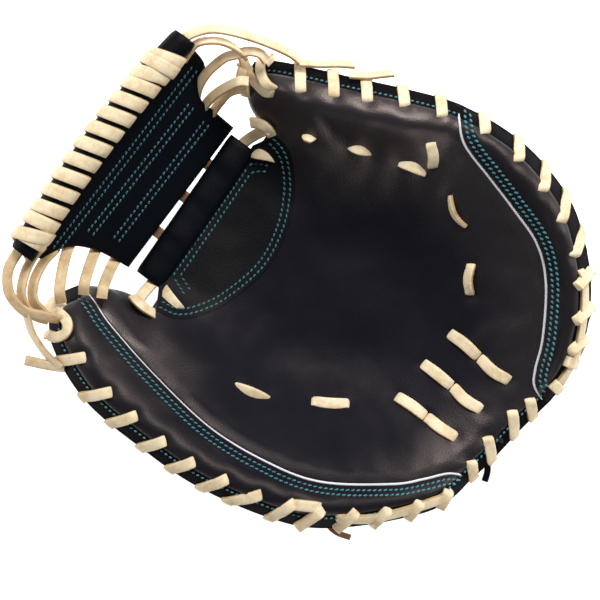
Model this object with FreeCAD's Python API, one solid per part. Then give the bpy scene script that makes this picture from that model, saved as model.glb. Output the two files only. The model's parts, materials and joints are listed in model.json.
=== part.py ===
"""Baseball catcher's mitt for the left hand, lying on its back with the palm up.

Millimetres.  The origin is the middle of the flat spot on the back that the
mitt rests on.  +Z points out of the pocket, +Y runs from the heel to the web
along the fold of the palm, and +X points to the finger side.

Every leather layer follows one height field.  front_height() is the palm
surface and back_height() is the outer surface of the back.  A layer is cut
from the space between two such surfaces by its outline in plan.
"""
import FreeCAD, Part
import math
import os

Vector = FreeCAD.Vector

# ---- driving dimensions -------------------------------------------------
RIM_MEAN_RADIUS = 125.0
POCKET_FLOOR = 50.0
SIDE_RISE = 50.0
HEEL_RISE = 18.0
CROTCH_RISE = 8.0
RIM_THICKNESS = 9.0
REST_DEPTH = 1.0

LEATHER = 3.4
BACK_LEATHER = 3.0
LINER = 1.5
PAD_THICKNESS = 16.0
LAYER_GAP = 0.4
BODY_GAP = 0.6
PATCH_LEATHER = 2.2

LACE_WIDTH = 5.6
LACE_THICKNESS = 1.6
LACE_RADIUS = 1.8
LACE_CLEARANCE = 0.3
LACE_END_DEPTH = 3.2
THREAD_WIDTH = 0.9
THREAD_HEIGHT = 0.5
THREAD_LIFT = 0.05
PIPING_WIDTH = 2.4
PIPING_RISE = 1.3
PIPING_DEPTH = 1.2
SEAM_CLEARANCE = 0.3

WEB_INNER_Y = 93.0
WEB_INNER_Z = 56.0
WEB_SLOPE = 0.87
WEB_LEATHER = 3.2
BAR_Y = 140.5
BAR_Z = 98.5
BAR_CORE_RADIUS = 6.6
BAR_START_X = -75.0
BAR_END_X = 62.0
BAR_BARE_END = 13.0
WRAP_COUNT = 13
BRIDGE_X = (-25.0, -2.0, 18.5)

CROTCH_ROLL_RADIUS = 6.4
CROTCH_ROLL_START = (-47.0, 80.0, 52.0)
CROTCH_ROLL_END = (38.0, 85.5, 54.0)
CROTCH_ROLL_TOP = 59.8

STRAP_Y = (-97.0, -64.0)
STRAP_THICKNESS = 3.2
STRAP_LACE_X = (-26.0, -8.0, 10.0)
STRAP_LACE_Y = (-66.5, -53.0)
FLEECE_THICKNESS = 6.0
PAD_SCALE = 0.93

TIP_OVERHANG = 8.0
GRID_STEP = 10.0
GRID_X = (-140.0, 140.0)
GRID_Y = (-140.0, 130.0)
FLOOR_CUT_DEPTH = 40.0
TALL = 160.0

# The palm folds along these two lines, given in plan from heel to crotch.
THUMB_FOLD = ((-37.0, -112.0), (-62.0, 68.0))
FINGER_FOLD = ((29.0, -122.0), (53.0, 75.0))

# ---- outlines in plan ----------------------------------------------------
THUMB_RIM = [(-38.0, -113.0), (-59.0, -103.0), (-86.0, -77.0), (-103.0, -51.0), (-115.0, -6.0),
             (-117.0, 32.0), (-115.0, 68.0), (-104.0, 97.0), (-91.0, 111.0)]
THUMB_TIP = [(-91.0, 111.0), (-81.0, 112.0), (-71.0, 107.0)]
THUMB_INSIDE = [(-71.0, 107.0), (-64.0, 95.0), (-62.0, 84.0), (-63.0, 70.0)]
CROTCH_EDGE = [(-63.0, 70.0), (-45.0, 71.5), (36.0, 76.5), (54.0, 76.0)]
FINGER_INSIDE = [(54.0, 76.0), (53.0, 87.0), (58.0, 97.0), (75.0, 104.0)]
FINGER_RIM = [(75.0, 104.0), (88.0, 79.0), (107.0, 36.0), (119.0, 4.0), (122.0, -32.0),
              (113.0, -69.0), (88.0, -100.0), (58.0, -118.0), (35.0, -123.0)]
HEEL_RIM = [(35.0, -123.0), (7.0, -119.0), (-15.0, -116.5), (-38.0, -113.0)]

THUMB_SEAM = [(-70.5, 107.0), (-77.0, 81.0), (-84.0, 49.0), (-88.5, 10.0), (-85.0, -24.0),
              (-76.0, -54.0), (-56.0, -82.0), (-40.0, -97.0)]
FINGER_SEAM = [(119.0, 8.0), (104.0, -7.0), (98.0, -28.0), (93.0, -46.0), (86.0, -67.0),
               (73.0, -83.0), (50.0, -99.0), (33.0, -107.0)]
CROTCH_SEAM = [(-56.0, 68.0), (-53.0, 56.0), (-38.0, 44.0), (-7.0, 36.5), (20.0, 42.0),
               (41.0, 55.0), (48.5, 73.0)]

WEB_OUTLINE = [(-49.0, 93.0), (-55.0, 116.0), (-72.0, 129.0), (-72.0, 134.0), (60.0, 134.0),
               (56.0, 122.0), (43.0, 113.0), (41.5, 93.0)]
WEB_ROWS = [((-64.0, 126.5), (53.0, 125.5)), ((-47.0, 118.0), (37.0, 116.0)),
            ((-42.0, 106.0), (35.0, 105.0))]

# The hand goes into the space over HAND_AREA.  The back is open below BACK_AREA.
HAND_AREA = [(-36.0, -110.0), (28.0, -110.0), (46.0, 20.0), (42.0, 37.0), (-50.0, 37.0), (-54.0, 20.0)]
BACK_AREA = [(-42.0, -56.0), (36.0, -56.0), (60.0, 90.0), (-75.0, 90.0)]
BACK_LINER_AREA = [(-60.0, -50.0), (60.0, -50.0), (60.0, 33.0), (-60.0, 33.0)]

# ---- laces in plan: each pair runs from the inner hole to the rim ---------
FINGER_LOOPS = [((75.5, 75.0), (85.5, 83.0)), ((83.0, 60.0), (91.5, 67.0)),
                ((91.0, 45.0), (99.5, 52.0)), ((100.5, 29.0), (108.0, 35.5)),
                ((108.0, 11.0), (115.5, 17.5)), ((113.5, -12.0), (121.0, -6.0)),
                ((112.5, -33.5), (122.0, -27.5)), ((107.5, -52.5), (118.5, -46.5)),
                ((101.0, -69.5), (113.0, -64.0)), ((92.0, -85.0), (101.0, -81.5))]
THUMB_LOOPS = [((-91.5, -48.0), (-102.5, -43.0)), ((-98.5, -31.0), (-108.0, -23.0)),
               ((-103.0, -13.0), (-113.0, -6.5)), ((-106.0, 5.5), (-116.0, 12.5)),
               ((-106.5, 23.5), (-117.0, 31.0)), ((-105.5, 42.5), (-116.5, 50.5)),
               ((-103.0, 60.0), (-113.5, 69.5)), ((-97.0, 81.0), (-106.0, 90.5))]
HEEL_LOOPS = [((21.0, -112.0), (15.0, -119.0)), ((10.0, -108.0), (1.0, -117.5)),
              ((-7.5, -106.5), (-15.5, -116.0)), ((-22.5, -106.5), (-28.5, -113.5))]
FINGER_CHAIN = [(87.0, -93.0), (79.0, -101.0), (68.0, -108.5), (54.0, -114.0), (38.0, -117.0)]
THUMB_CHAIN = [(-43.0, -106.0), (-55.0, -99.0), (-67.0, -88.0), (-78.0, -76.0), (-86.0, -64.0)]

FINGER_TIES = [((67.7, 39.4), (72.6, 27.3)), ((77.5, 13.3), (81.2, -0.2)),
               ((94.0, 6.6), (87.0, -1.5)), ((78.9, -16.6), (71.0, -33.1)),
               ((58.4, -47.5), (45.6, -56.3))]
THUMB_TIES = [((-64.0, 12.2), (-59.5, -5.9))]
PALM_TIES = [((-46.0, -26.0), (-36.5, -41.0))]
HEEL_TIES = [((-18.9, -58.0), (-18.3, -75.5)), ((-18.2, -77.0), (-17.7, -94.5)),
             ((3.0, -59.0), (2.5, -77.0)), ((2.4, -78.5), (1.8, -96.5)),
             ((23.9, -60.5), (23.2, -78.5)), ((23.1, -80.0), (22.5, -98.5))]

# ---- laces from the web to the tips: x, y and height above the floor ------
INDEX_WEB_LACES = [
    [(60.0, 135.0, 101.0), (70.0, 129.0, 103.0), (79.0, 117.5, 102.0), (84.5, 103.0, 97.0),
     (87.5, 90.0, 95.0)],
    [(60.0, 130.0, 96.0), (69.0, 124.5, 99.0), (73.5, 115.0, 97.0), (74.0, 106.5, 92.0)],
    [(47.0, 118.5, 86.0), (57.0, 118.5, 91.0), (66.0, 115.5, 93.0), (72.0, 109.0, 91.0)],
    [(45.0, 110.0, 80.0), (53.0, 108.5, 86.0), (61.0, 103.5, 88.0)],
    [(44.0, 104.5, 75.0), (50.0, 104.0, 81.0), (57.0, 99.5, 86.0)]]
THUMB_WEB_LACES = [
    [(-73.0, 138.0, 98.0), (-84.0, 138.0, 97.0), (-93.0, 132.5, 96.0), (-97.0, 122.0, 95.0),
     (-94.0, 112.5, 93.0)],
    [(-72.0, 133.5, 95.0), (-82.0, 131.5, 96.0), (-90.5, 124.0, 94.0), (-92.0, 115.0, 91.0)],
    [(-61.0, 122.5, 90.0), (-70.0, 118.5, 92.0), (-78.5, 112.5, 90.0)],
    [(-55.0, 111.5, 79.0), (-62.0, 108.5, 86.0), (-68.0, 104.5, 88.0)],
    [(-53.0, 100.5, 71.0), (-58.0, 98.5, 78.0), (-62.5, 95.5, 84.0)]]
INDEX_TIP_LOOPS = [[(66.0, 87.0), (66.5, 94.0), (70.5, 98.5), (78.5, 96.5)],
                   [(60.0, 94.0), (63.5, 98.5), (70.5, 101.0), (78.0, 92.0), (83.0, 86.0)]]
THUMB_TIP_LOOPS = [[(-86.0, 107.0), (-90.0, 103.0), (-91.5, 96.5), (-97.5, 98.0)],
                   [(-80.0, 108.5), (-85.0, 104.5), (-88.5, 93.0)]]

# ---- finger stalls: root and end of each, in plan -------------------------
STALL_WIDTH = 21.0
STALLS = {"index_stall": ((58.0, 47.0), (70.0, 70.0)),
          "middle_stall": ((58.5, 20.0), (86.0, 37.0)),
          "ring_stall": ((54.0, -8.0), (92.0, -4.0)),
          "little_stall": ((51.0, -34.0), (84.0, -46.0))}
THUMB_STALL = ((-66.0, 2.0), (-82.0, 44.0))
THUMB_STALL_WIDTH = 25.0


# ---- surfaces -------------------------------------------------------------
def smooth(t):
    """Rise from 0 to 1 with level ends."""
    t = min(1.0, max(0.0, t))
    return t * t * (3.0 - 2.0 * t)


def rim_radius(angle):
    """Distance from the pocket's middle to the rim in a plan direction."""
    lengthwise = 5.0 * math.sin(angle) - 5.0 * math.cos(2.0 * angle)
    skew = -9.7 * math.sin(2.0 * angle)
    return RIM_MEAN_RADIUS + lengthwise + skew


def rim_fraction(x, y):
    """0 in the middle of the pocket, 1 on the rim."""
    return math.hypot(x, y) / rim_radius(math.atan2(y, x))


def crotch_weight(x, y):
    """1 in the flat part of the palm between thumb and index finger."""
    return smooth((62.0 - abs(x + 5.0)) / 30.0) * smooth((y - 20.0) / 50.0)


def front_height(x, y):
    """Outer surface of the palm leather."""
    radius = max(1e-6, math.hypot(x, y))
    toward_heel = max(0.0, -y / radius) ** 4
    toward_web = max(0.0, y / radius) ** 4
    rise = SIDE_RISE - (SIDE_RISE - HEEL_RISE) * toward_heel - (SIDE_RISE - CROTCH_RISE) * toward_web
    rise *= 1.0 - 0.8 * crotch_weight(x, y)
    return POCKET_FLOOR + rise * smooth((rim_fraction(x, y) - 0.2) / 0.8)


def crotch_closing(x, y):
    """Rises to 1 where the back comes up to meet the palm at the crotch."""
    return smooth((60.0 - abs(x + 5.0)) / 15.0) * smooth((y - 35.0) / 40.0)


def back_height(x, y):
    """Outer surface of the back, a little below the floor where the mitt rests."""
    under_rim = front_height(x, y) - RIM_THICKNESS
    height = under_rim * smooth((rim_fraction(x, y) - 0.42) / 0.58)
    return height + (under_rim - height) * crotch_closing(x, y) - REST_DEPTH


def pad_bottom(x, y):
    """Underside of the felt: a palm pad inside, filling the whole roll at the rim."""
    hand_room = 1.0 - smooth((rim_fraction(x, y) - 0.55) / 0.35)
    hand_room *= 1.0 - smooth(2.0 * crotch_closing(x, y))
    over_hand = front_height(x, y) - LEATHER - LAYER_GAP - PAD_THICKNESS
    on_back = back_height(x, y) + BACK_LEATHER + LAYER_GAP
    return on_back + (over_hand - on_back) * hand_room


def raised(surface, lift):
    """The same surface moved up by lift."""
    return lambda x, y: surface(x, y) + lift


def surface_face(surface):
    """One smooth face over the whole plan grid."""
    count_x = int(round((GRID_X[1] - GRID_X[0]) / GRID_STEP)) + 1
    count_y = int(round((GRID_Y[1] - GRID_Y[0]) / GRID_STEP)) + 1
    rows = []
    for i in range(count_x):
        x = GRID_X[0] + i * GRID_STEP
        rows.append([Vector(x, GRID_Y[0] + j * GRID_STEP, surface(x, GRID_Y[0] + j * GRID_STEP))
                     for j in range(count_y)])
    spline = Part.BSplineSurface()
    spline.interpolate(rows)
    return spline.toShape()


def slab(top, bottom):
    """Solid between two surfaces over the whole plan grid."""
    upper = surface_face(top)
    lower = surface_face(bottom)
    faces = [upper, lower]
    for edge in upper.Edges:
        middle = edge.valueAt((edge.FirstParameter + edge.LastParameter) / 2.0)
        partner = min(lower.Edges, key=lambda other: plan_distance(other, middle))
        faces.append(Part.makeRuledSurface(edge, partner))
    shell = Part.makeShell(faces)
    shell.sewShape()
    solid = Part.makeSolid(shell)
    if solid.Volume < 0.0:
        solid.reverse()
    return solid


def plan_distance(edge, point):
    """Distance in plan from the middle of an edge to a point."""
    middle = edge.valueAt((edge.FirstParameter + edge.LastParameter) / 2.0)
    return math.hypot(middle.x - point.x, middle.y - point.y)


# ---- outlines ---------------------------------------------------------------
def stretch(points):
    """One edge in plan: a straight line, or a smooth curve through its points."""
    vectors = [Vector(x, y, 0.0) for x, y in points]
    if len(vectors) == 2:
        return Part.LineSegment(vectors[0], vectors[1]).toShape()
    curve = Part.BSplineCurve()
    curve.interpolate(vectors)
    return curve.toShape()


def column(stretches):
    """Tall column over the outline made by stretches placed end to end."""
    wire = Part.Wire(Part.__sortEdges__([stretch(points) for points in stretches]))
    face = Part.Face(wire)
    face.translate(Vector(0.0, 0.0, -FLOOR_CUT_DEPTH))
    return face.extrude(Vector(0.0, 0.0, TALL + FLOOR_CUT_DEPTH))


def polygon(points):
    """Outline with straight sides, as stretches."""
    return [[points[i], points[(i + 1) % len(points)]] for i in range(len(points))]


def unit_run(start, end):
    """Unit direction from one plan point to the next."""
    length = math.hypot(end[0] - start[0], end[1] - start[1])
    return ((end[0] - start[0]) / length, (end[1] - start[1]) / length)


def shifted(points, distance):
    """Points moved sideways, to the left of their direction of travel."""
    moved = []
    for i, (x, y) in enumerate(points):
        ahead = points[min(i + 1, len(points) - 1)]
        behind = points[max(i - 1, 0)]
        dx, dy = ahead[0] - behind[0], ahead[1] - behind[1]
        length = math.hypot(dx, dy)
        moved.append((x - dy / length * distance, y + dx / length * distance))
    return moved


def band(points, offset, width):
    """Outline of a strip of even width beside a curve."""
    left = shifted(points, offset + width / 2.0)
    right = shifted(points, offset - width / 2.0)
    return [left, [left[-1], right[-1]], right[::-1], [right[0], left[0]]]


def capsule(start, end, width):
    """Outline of a finger shape with round ends."""
    dx, dy = end[0] - start[0], end[1] - start[1]
    length = math.hypot(dx, dy)
    ux, uy = dx / length, dy / length
    half = width / 2.0
    a_left = (start[0] - uy * half, start[1] + ux * half)
    a_right = (start[0] + uy * half, start[1] - ux * half)
    b_left = (end[0] - uy * half, end[1] + ux * half)
    b_right = (end[0] + uy * half, end[1] - ux * half)
    b_nose = (end[0] + ux * half, end[1] + uy * half)
    a_nose = (start[0] - ux * half, start[1] - uy * half)
    return [[a_left, b_left], [b_left, b_nose, b_right], [b_right, a_right], [a_right, a_nose, a_left]]


def beside_fold(fold, side, gap):
    """Column over all of the plan on one side of a fold line.

    Past the crotch the column also takes in the inner edge of the finger or
    thumb there, which leans over the line.
    """
    (x1, y1), (x2, y2) = fold
    ux, uy = unit_run(fold[0], fold[1])
    out_x, out_y = uy * side, -ux * side
    inner_x = x2 - out_x * TIP_OVERHANG
    return column(polygon([(x1 - ux * TALL + out_x * gap, y1 - uy * TALL + out_y * gap),
                           (x2 + out_x * gap, y2 + out_y * gap), (inner_x, y2 + 2.0),
                           (inner_x, y2 + TALL), (x2 + out_x * TALL, y2 + TALL),
                           (x1 - ux * TALL + out_x * TALL, y1 - uy * TALL + out_y * TALL)]))


# ---- solids -------------------------------------------------------------------
def above_floor(solid):
    """Cut away what would lie below the floor, which leaves the flat rest face."""
    below = Part.makeBox(4.0 * TALL, 4.0 * TALL, FLOOR_CUT_DEPTH,
                         Vector(-2.0 * TALL, -2.0 * TALL, -FLOOR_CUT_DEPTH))
    return solid.cut(below)


def main_solid(shape):
    """Largest solid of a shape, without the specks that cutting can leave."""
    return max(shape.Solids, key=lambda solid: solid.Volume)


def mitred(points, distance):
    """A polyline moved sideways so that each of its runs keeps its distance."""
    moved = []
    for i, (x, y) in enumerate(points):
        before = unit_run(points[max(i - 1, 0)], points[max(i, 1)])
        after = unit_run(points[min(i, len(points) - 2)], points[min(i + 1, len(points) - 1)])
        normal_x, normal_y = -(before[1] + after[1]), before[0] + after[0]
        scale = distance * 2.0 / (normal_x ** 2 + normal_y ** 2)
        moved.append((x + normal_x * scale, y + normal_y * scale))
    return moved


def strap_outline(points, thickness):
    """Corners of a strap profile: a polyline given an even thickness."""
    return mitred(points, thickness / 2.0) + mitred(points, -thickness / 2.0)[::-1]


def strap(start, end, profile, width=LACE_WIDTH, thickness=LACE_THICKNESS):
    """Flat lace in the upright plane through two plan points.

    profile lists (distance from start, height) along the middle of the lace.
    """
    dx, dy = end[0] - start[0], end[1] - start[1]
    length = math.hypot(dx, dy)
    ux, uy = dx / length, dy / length
    corners = [Vector(start[0] + ux * along, start[1] + uy * along, height)
               for along, height in strap_outline(profile, thickness)]
    face = Part.Face(Part.makePolygon(corners + [corners[0]]))
    across = Vector(-uy, ux, 0.0) * width
    face.translate(across * -0.5)
    return face.extrude(across)


def rim_loop(start, end, lift=0.0):
    """Lace that leaves a hole in the palm, goes over the rim and into the back."""
    length = math.hypot(end[0] - start[0], end[1] - start[1])
    clear = LACE_THICKNESS / 2.0 + LACE_CLEARANCE
    inner_top = front_height(*start) + clear + lift
    outer_top = front_height(*end) + clear + lift
    outer_back = back_height(*end) - clear
    inner_back = back_height(*start) - clear
    inner_back = max(inner_back, outer_back - 12.0)
    reach = length + 1.4
    return strap(start, end, [(1.0, inner_top - LACE_END_DEPTH), (1.0, inner_top), (reach, outer_top),
                              (reach, outer_back), (4.0, inner_back), (4.0, inner_back + LACE_END_DEPTH)])


def surface_tie(start, end):
    """Lace that shows on the palm between two holes."""
    length = math.hypot(end[0] - start[0], end[1] - start[1])
    clear = LACE_THICKNESS / 2.0 + LACE_CLEARANCE
    first = front_height(*start) + clear
    last = front_height(*end) + clear
    return strap(start, end, [(0.8, first - 3.0), (1.4, first), (length - 1.4, last),
                              (length - 0.8, last - 3.0)])


def tube(points, radius):
    """Round lace along straight runs joined by tangent arcs."""
    corners = [Vector(*p) for p in points]
    edges = []
    here = corners[0]
    for i in range(1, len(corners) - 1):
        back = corners[i - 1] - corners[i]
        ahead = corners[i + 1] - corners[i]
        setback = 0.45 * min(back.Length, ahead.Length)
        back.normalize()
        ahead.normalize()
        arc_start = corners[i] + back * setback
        arc_end = corners[i] + ahead * setback
        half_turn = (math.pi - back.getAngle(ahead)) / 2.0
        bend_radius = setback / math.tan(half_turn)
        toward_centre = (back + ahead).normalize()
        centre = corners[i] + toward_centre * (bend_radius / math.cos(half_turn))
        arc_middle = centre - toward_centre * bend_radius
        edges.append(Part.LineSegment(here, arc_start).toShape())
        edges.append(Part.Arc(arc_start, arc_middle, arc_end).toShape())
        here = arc_end
    edges.append(Part.LineSegment(here, corners[-1]).toShape())
    path = Part.Wire(edges)
    direction = corners[1] - corners[0]
    circle = Part.Wire(Part.makeCircle(radius, corners[0], direction))
    return path.makePipeShell([circle], True, False)


def on_surface(points, lift):
    """Plan points given the height of the palm surface plus lift."""
    return [(x, y, front_height(x, y) + lift) for x, y in points]


def web_height(y):
    """Outer face of the web panel."""
    return WEB_INNER_Z + (y - WEB_INNER_Y) * WEB_SLOPE


def web_plate(points, lift, thickness):
    """Flat tilted plate of the web."""
    corners = [Vector(x, y, web_height(y) + lift) for x, y in points]
    face = Part.Face(Part.makePolygon(corners + [corners[0]]))
    return face.extrude(Vector(0.0, 0.0, -thickness))


def web_thread(start, end, shift):
    """Straight row of stitching on the web."""
    low = (start[1] + shift, end[1] + shift)
    corners = [(start[0], low[0] - THREAD_WIDTH / 2.0), (end[0], low[1] - THREAD_WIDTH / 2.0),
               (end[0], low[1] + THREAD_WIDTH / 2.0), (start[0], low[0] + THREAD_WIDTH / 2.0)]
    vectors = [Vector(x, y, web_height(y) + THREAD_LIFT) for x, y in corners]
    face = Part.Face(Part.makePolygon(vectors + [vectors[0]]))
    return face.extrude(Vector(0.0, 0.0, THREAD_HEIGHT))


# ---- regions in plan -----------------------------------------------------------
THUMB_SIDE = beside_fold(THUMB_FOLD, -1.0, BODY_GAP / 2.0)
FINGER_SIDE = beside_fold(FINGER_FOLD, 1.0, BODY_GAP / 2.0)
CENTRE = column(polygon([(-TALL, -TALL), (TALL, -TALL), (TALL, TALL), (-TALL, TALL)])).cut(
    beside_fold(THUMB_FOLD, -1.0, -BODY_GAP / 2.0)).cut(beside_fold(FINGER_FOLD, 1.0, -BODY_GAP / 2.0))
PALM_OUTLINE = [THUMB_RIM, THUMB_TIP, THUMB_INSIDE, CROTCH_EDGE, FINGER_INSIDE, FINGER_RIM, HEEL_RIM]
WHOLE = column(PALM_OUTLINE)

# ---- layers: a solid between two surfaces, before it is cut to an outline -------
def layer_on(surface, low, high):
    """Layer that lies between two heights measured from a surface."""
    return slab(raised(surface, high), raised(surface, low))


leather_layer = layer_on(front_height, -LEATHER, 0.0)
back_layer = above_floor(layer_on(back_height, 0.0, BACK_LEATHER))
pad_layer = slab(raised(front_height, -LEATHER - LAYER_GAP), pad_bottom)
hand_liner_layer = layer_on(pad_bottom, -LAYER_GAP - LINER, -LAYER_GAP)
back_liner_layer = layer_on(back_height, BACK_LEATHER + LAYER_GAP, BACK_LEATHER + LAYER_GAP + LINER)
thread_layer = layer_on(front_height, THREAD_LIFT, THREAD_LIFT + THREAD_HEIGHT)
piping_layer = layer_on(front_height, -PIPING_DEPTH, PIPING_RISE)
chain_layer = layer_on(front_height, LACE_CLEARANCE, LACE_CLEARANCE + LACE_THICKNESS)
patch_layer = layer_on(front_height, 0.1, 0.1 + PATCH_LEATHER)
patch_thread_layer = layer_on(front_height, 0.2 + PATCH_LEATHER, 0.2 + PATCH_LEATHER + THREAD_HEIGHT)

nodes = {}


def add(name, *solids):
    """Store a named sub-part made of one or more separate solids."""
    kept = [main_solid(solid) for solid in solids]
    nodes[name] = kept[0] if len(kept) == 1 else Part.makeCompound(kept)


# ---- palm leather, rolls and piping ----------------------------------------------
seam_room = PIPING_WIDTH + 2.0 * SEAM_CLEARANCE
thumb_seam_band = column(band(THUMB_SEAM, 0.0, seam_room))
finger_seam_band = column(band(FINGER_SEAM, 0.0, seam_room))
thumb_roll_area = column([THUMB_SEAM, [THUMB_SEAM[-1], (-38.0, -99.0)], [(-38.0, -99.0), (-30.0, -160.0)],
                          [(-30.0, -160.0), (-200.0, -160.0)], [(-200.0, -160.0), (-200.0, 160.0)],
                          [(-200.0, 160.0), (-66.0, 160.0)], [(-66.0, 160.0), THUMB_SEAM[0]]])
finger_roll_area = column([FINGER_SEAM, [FINGER_SEAM[-1], (25.0, -110.0)], [(25.0, -110.0), (25.0, -160.0)],
                           [(25.0, -160.0), (200.0, -160.0)], [(200.0, -160.0), (200.0, 8.0)],
                           [(200.0, 8.0), FINGER_SEAM[0]]])

thumb_leather = leather_layer.common(WHOLE).common(THUMB_SIDE)
add("palm_leather_thumb", thumb_leather.cut(thumb_roll_area).cut(thumb_seam_band))
add("thumb_roll_panel", thumb_leather.common(thumb_roll_area).cut(thumb_seam_band))
finger_leather = leather_layer.common(WHOLE).common(FINGER_SIDE)
add("palm_leather_finger", finger_leather.cut(finger_roll_area).cut(finger_seam_band))
add("finger_roll_panel", finger_leather.common(finger_roll_area).cut(finger_seam_band))
add("palm_leather_center", leather_layer.common(WHOLE).common(CENTRE))
add("thumb_piping", piping_layer.common(column(band(THUMB_SEAM, 0.0, PIPING_WIDTH)))
    .common(WHOLE).common(THUMB_SIDE))
add("finger_piping", piping_layer.common(column(band(FINGER_SEAM, 0.0, PIPING_WIDTH)))
    .common(WHOLE).common(FINGER_SIDE))

# ---- seam threads -------------------------------------------------------------------
def thread_rows(points, offsets, layer, region):
    """Rows of stitching beside a seam."""
    return [layer.common(column(band(points, offset, THREAD_WIDTH))).common(region)
            for offset in offsets]


add("thumb_seam_thread", *thread_rows(THUMB_SEAM, (-4.2, -7.2), thread_layer, WHOLE.common(THUMB_SIDE)))
add("finger_seam_thread", *thread_rows(FINGER_SEAM, (4.2, 7.2), thread_layer, WHOLE.common(FINGER_SIDE)))
add("crotch_patch_thread", *thread_rows(CROTCH_SEAM, (1.5, 4.5), patch_thread_layer, WHOLE.common(CENTRE)))

# ---- crotch patch and roll -----------------------------------------------------------
patch_edge = shifted(CROTCH_SEAM, -1.5)
patch_column = column([patch_edge, [patch_edge[-1], (36.0, 76.0)], [(36.0, 76.0), (-45.0, 71.0)],
                       [(-45.0, 71.0), patch_edge[0]]])
add("crotch_patch", patch_layer.common(patch_column).common(WHOLE).common(CENTRE))
roll_start = Vector(*CROTCH_ROLL_START)
roll_run = Vector(*CROTCH_ROLL_END) - roll_start
add("crotch_roll", Part.makeCylinder(CROTCH_ROLL_RADIUS, roll_run.Length, roll_start, roll_run))

# ---- felt pads ---------------------------------------------------------------------------
def inset_outline(scale):
    """The palm outline drawn in towards the pocket."""
    return column([[(x * scale, y * scale) for x, y in points] for points in PALM_OUTLINE])


pad_area = inset_outline(PAD_SCALE)
add("thumb_pad", pad_layer.common(pad_area).common(THUMB_SIDE))
add("finger_pad", pad_layer.common(pad_area).common(FINGER_SIDE))
clear_of_back = slab(lambda x, y: TALL, raised(back_height, BACK_LEATHER + LAYER_GAP / 2.0))
add("palm_pad", pad_layer.common(pad_area).common(CENTRE).common(clear_of_back))

# ---- hand pocket in the middle ----------------------------------------------------------
hand_area = column(polygon(HAND_AREA)).common(CENTRE)
add("hand_liner_front", hand_liner_layer.common(hand_area))
back_area = column(polygon(BACK_AREA))
add("back_panel_center", back_layer.common(WHOLE).common(CENTRE).common(back_area))
add("hand_liner_back", back_liner_layer.common(hand_area).common(column(polygon(BACK_LINER_AREA))))

# ---- back panels and finger stalls ----------------------------------------------------------
add("back_panel_thumb", back_layer.common(WHOLE).common(THUMB_SIDE))
add("back_panel_finger", back_layer.common(WHOLE).common(FINGER_SIDE))


def under_pad(inset):
    """Space below the felt, drawn in by inset."""
    return slab(raised(pad_bottom, -LAYER_GAP - inset), lambda x, y: -FLOOR_CUT_DEPTH)


def over_back(inset):
    """Space above the back leather, drawn in by inset."""
    return slab(lambda x, y: TALL, raised(back_height, BACK_LEATHER + LAYER_GAP + inset))


def stall(start, end, width):
    """Leather sleeve for one finger, open at its root."""
    outside = column(capsule(start, end, width)).common(under_pad(0.0)).common(over_back(0.0))
    dx, dy = end[0] - start[0], end[1] - start[1]
    length = math.hypot(dx, dy)
    root = (start[0] - dx / length * width, start[1] - dy / length * width)
    room = column(capsule(root, end, width - 2.0 * LINER))
    return outside.cut(room.common(under_pad(LINER)).common(over_back(LINER)))


for stall_name, (root, end) in STALLS.items():
    add(stall_name, stall(root, end, STALL_WIDTH).common(FINGER_SIDE))
add("thumb_stall", stall(THUMB_STALL[0], THUMB_STALL[1], THUMB_STALL_WIDTH).common(THUMB_SIDE))

# ---- wrist strap across the hand opening ------------------------------------------------------
def across_wrist(y_range, z_low, z_high, inset):
    """Flat piece from one fold line to the other."""
    box = Part.makeBox(TALL, y_range[1] - y_range[0], z_high - z_low,
                       Vector(-TALL / 2.0, y_range[0], z_low))
    return box.cut(beside_fold(THUMB_FOLD, -1.0, -inset)).cut(beside_fold(FINGER_FOLD, 1.0, -inset))


fleece_bottom = STRAP_THICKNESS + 0.2
add("wrist_strap", across_wrist(STRAP_Y, 0.0, STRAP_THICKNESS, 2.0))
add("wrist_fleece", across_wrist((STRAP_Y[0] + 2.0, STRAP_Y[1] - 2.0), fleece_bottom,
                                 fleece_bottom + FLEECE_THICKNESS, 4.0))
strap_lace_profile = [(1.6, 1.2), (1.6, 5.2), (12.5, 5.2), (12.5, 1.2)]
add("strap_lace", *[strap((x, STRAP_LACE_Y[0]), (x, STRAP_LACE_Y[1]), strap_lace_profile)
                    for x in STRAP_LACE_X])

# ---- laces of the rim -----------------------------------------------------------------------------
add("rim_lace_finger", *[rim_loop(start, end) for start, end in FINGER_LOOPS])
add("rim_lace_thumb", *[rim_loop(start, end) for start, end in THUMB_LOOPS])
add("rim_lace_heel", *[surface_tie(start, end) for start, end in HEEL_LOOPS])


def chain_crossings(points):
    """Short laces that cross over a chain lace from a hole to the rim."""
    crossings = []
    for x, y in points:
        radius = math.hypot(x, y)
        hole = (x - x / radius * 6.0, y - y / radius * 6.0)
        edge = (x + x / radius * 6.5, y + y / radius * 6.5)
        crossings.append(rim_loop(hole, edge, LACE_THICKNESS + 0.4))
    return crossings


add("chain_lace_finger", chain_layer.common(column(band(FINGER_CHAIN, 0.0, LACE_WIDTH))))
add("chain_lace_thumb", chain_layer.common(column(band(THUMB_CHAIN, 0.0, LACE_WIDTH))))
add("chain_loops_finger", *chain_crossings(FINGER_CHAIN[:-1]))
add("chain_loops_thumb", *chain_crossings(THUMB_CHAIN[1:]))

# ---- ties on the palm ---------------------------------------------------------------------------------
add("pocket_ties_finger", *[surface_tie(start, end) for start, end in FINGER_TIES])
add("pocket_tie_thumb", *[surface_tie(start, end) for start, end in THUMB_TIES])
add("pocket_tie_palm", *[surface_tie(start, end) for start, end in PALM_TIES])
add("heel_ties", *[surface_tie(start, end) for start, end in HEEL_TIES])

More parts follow.
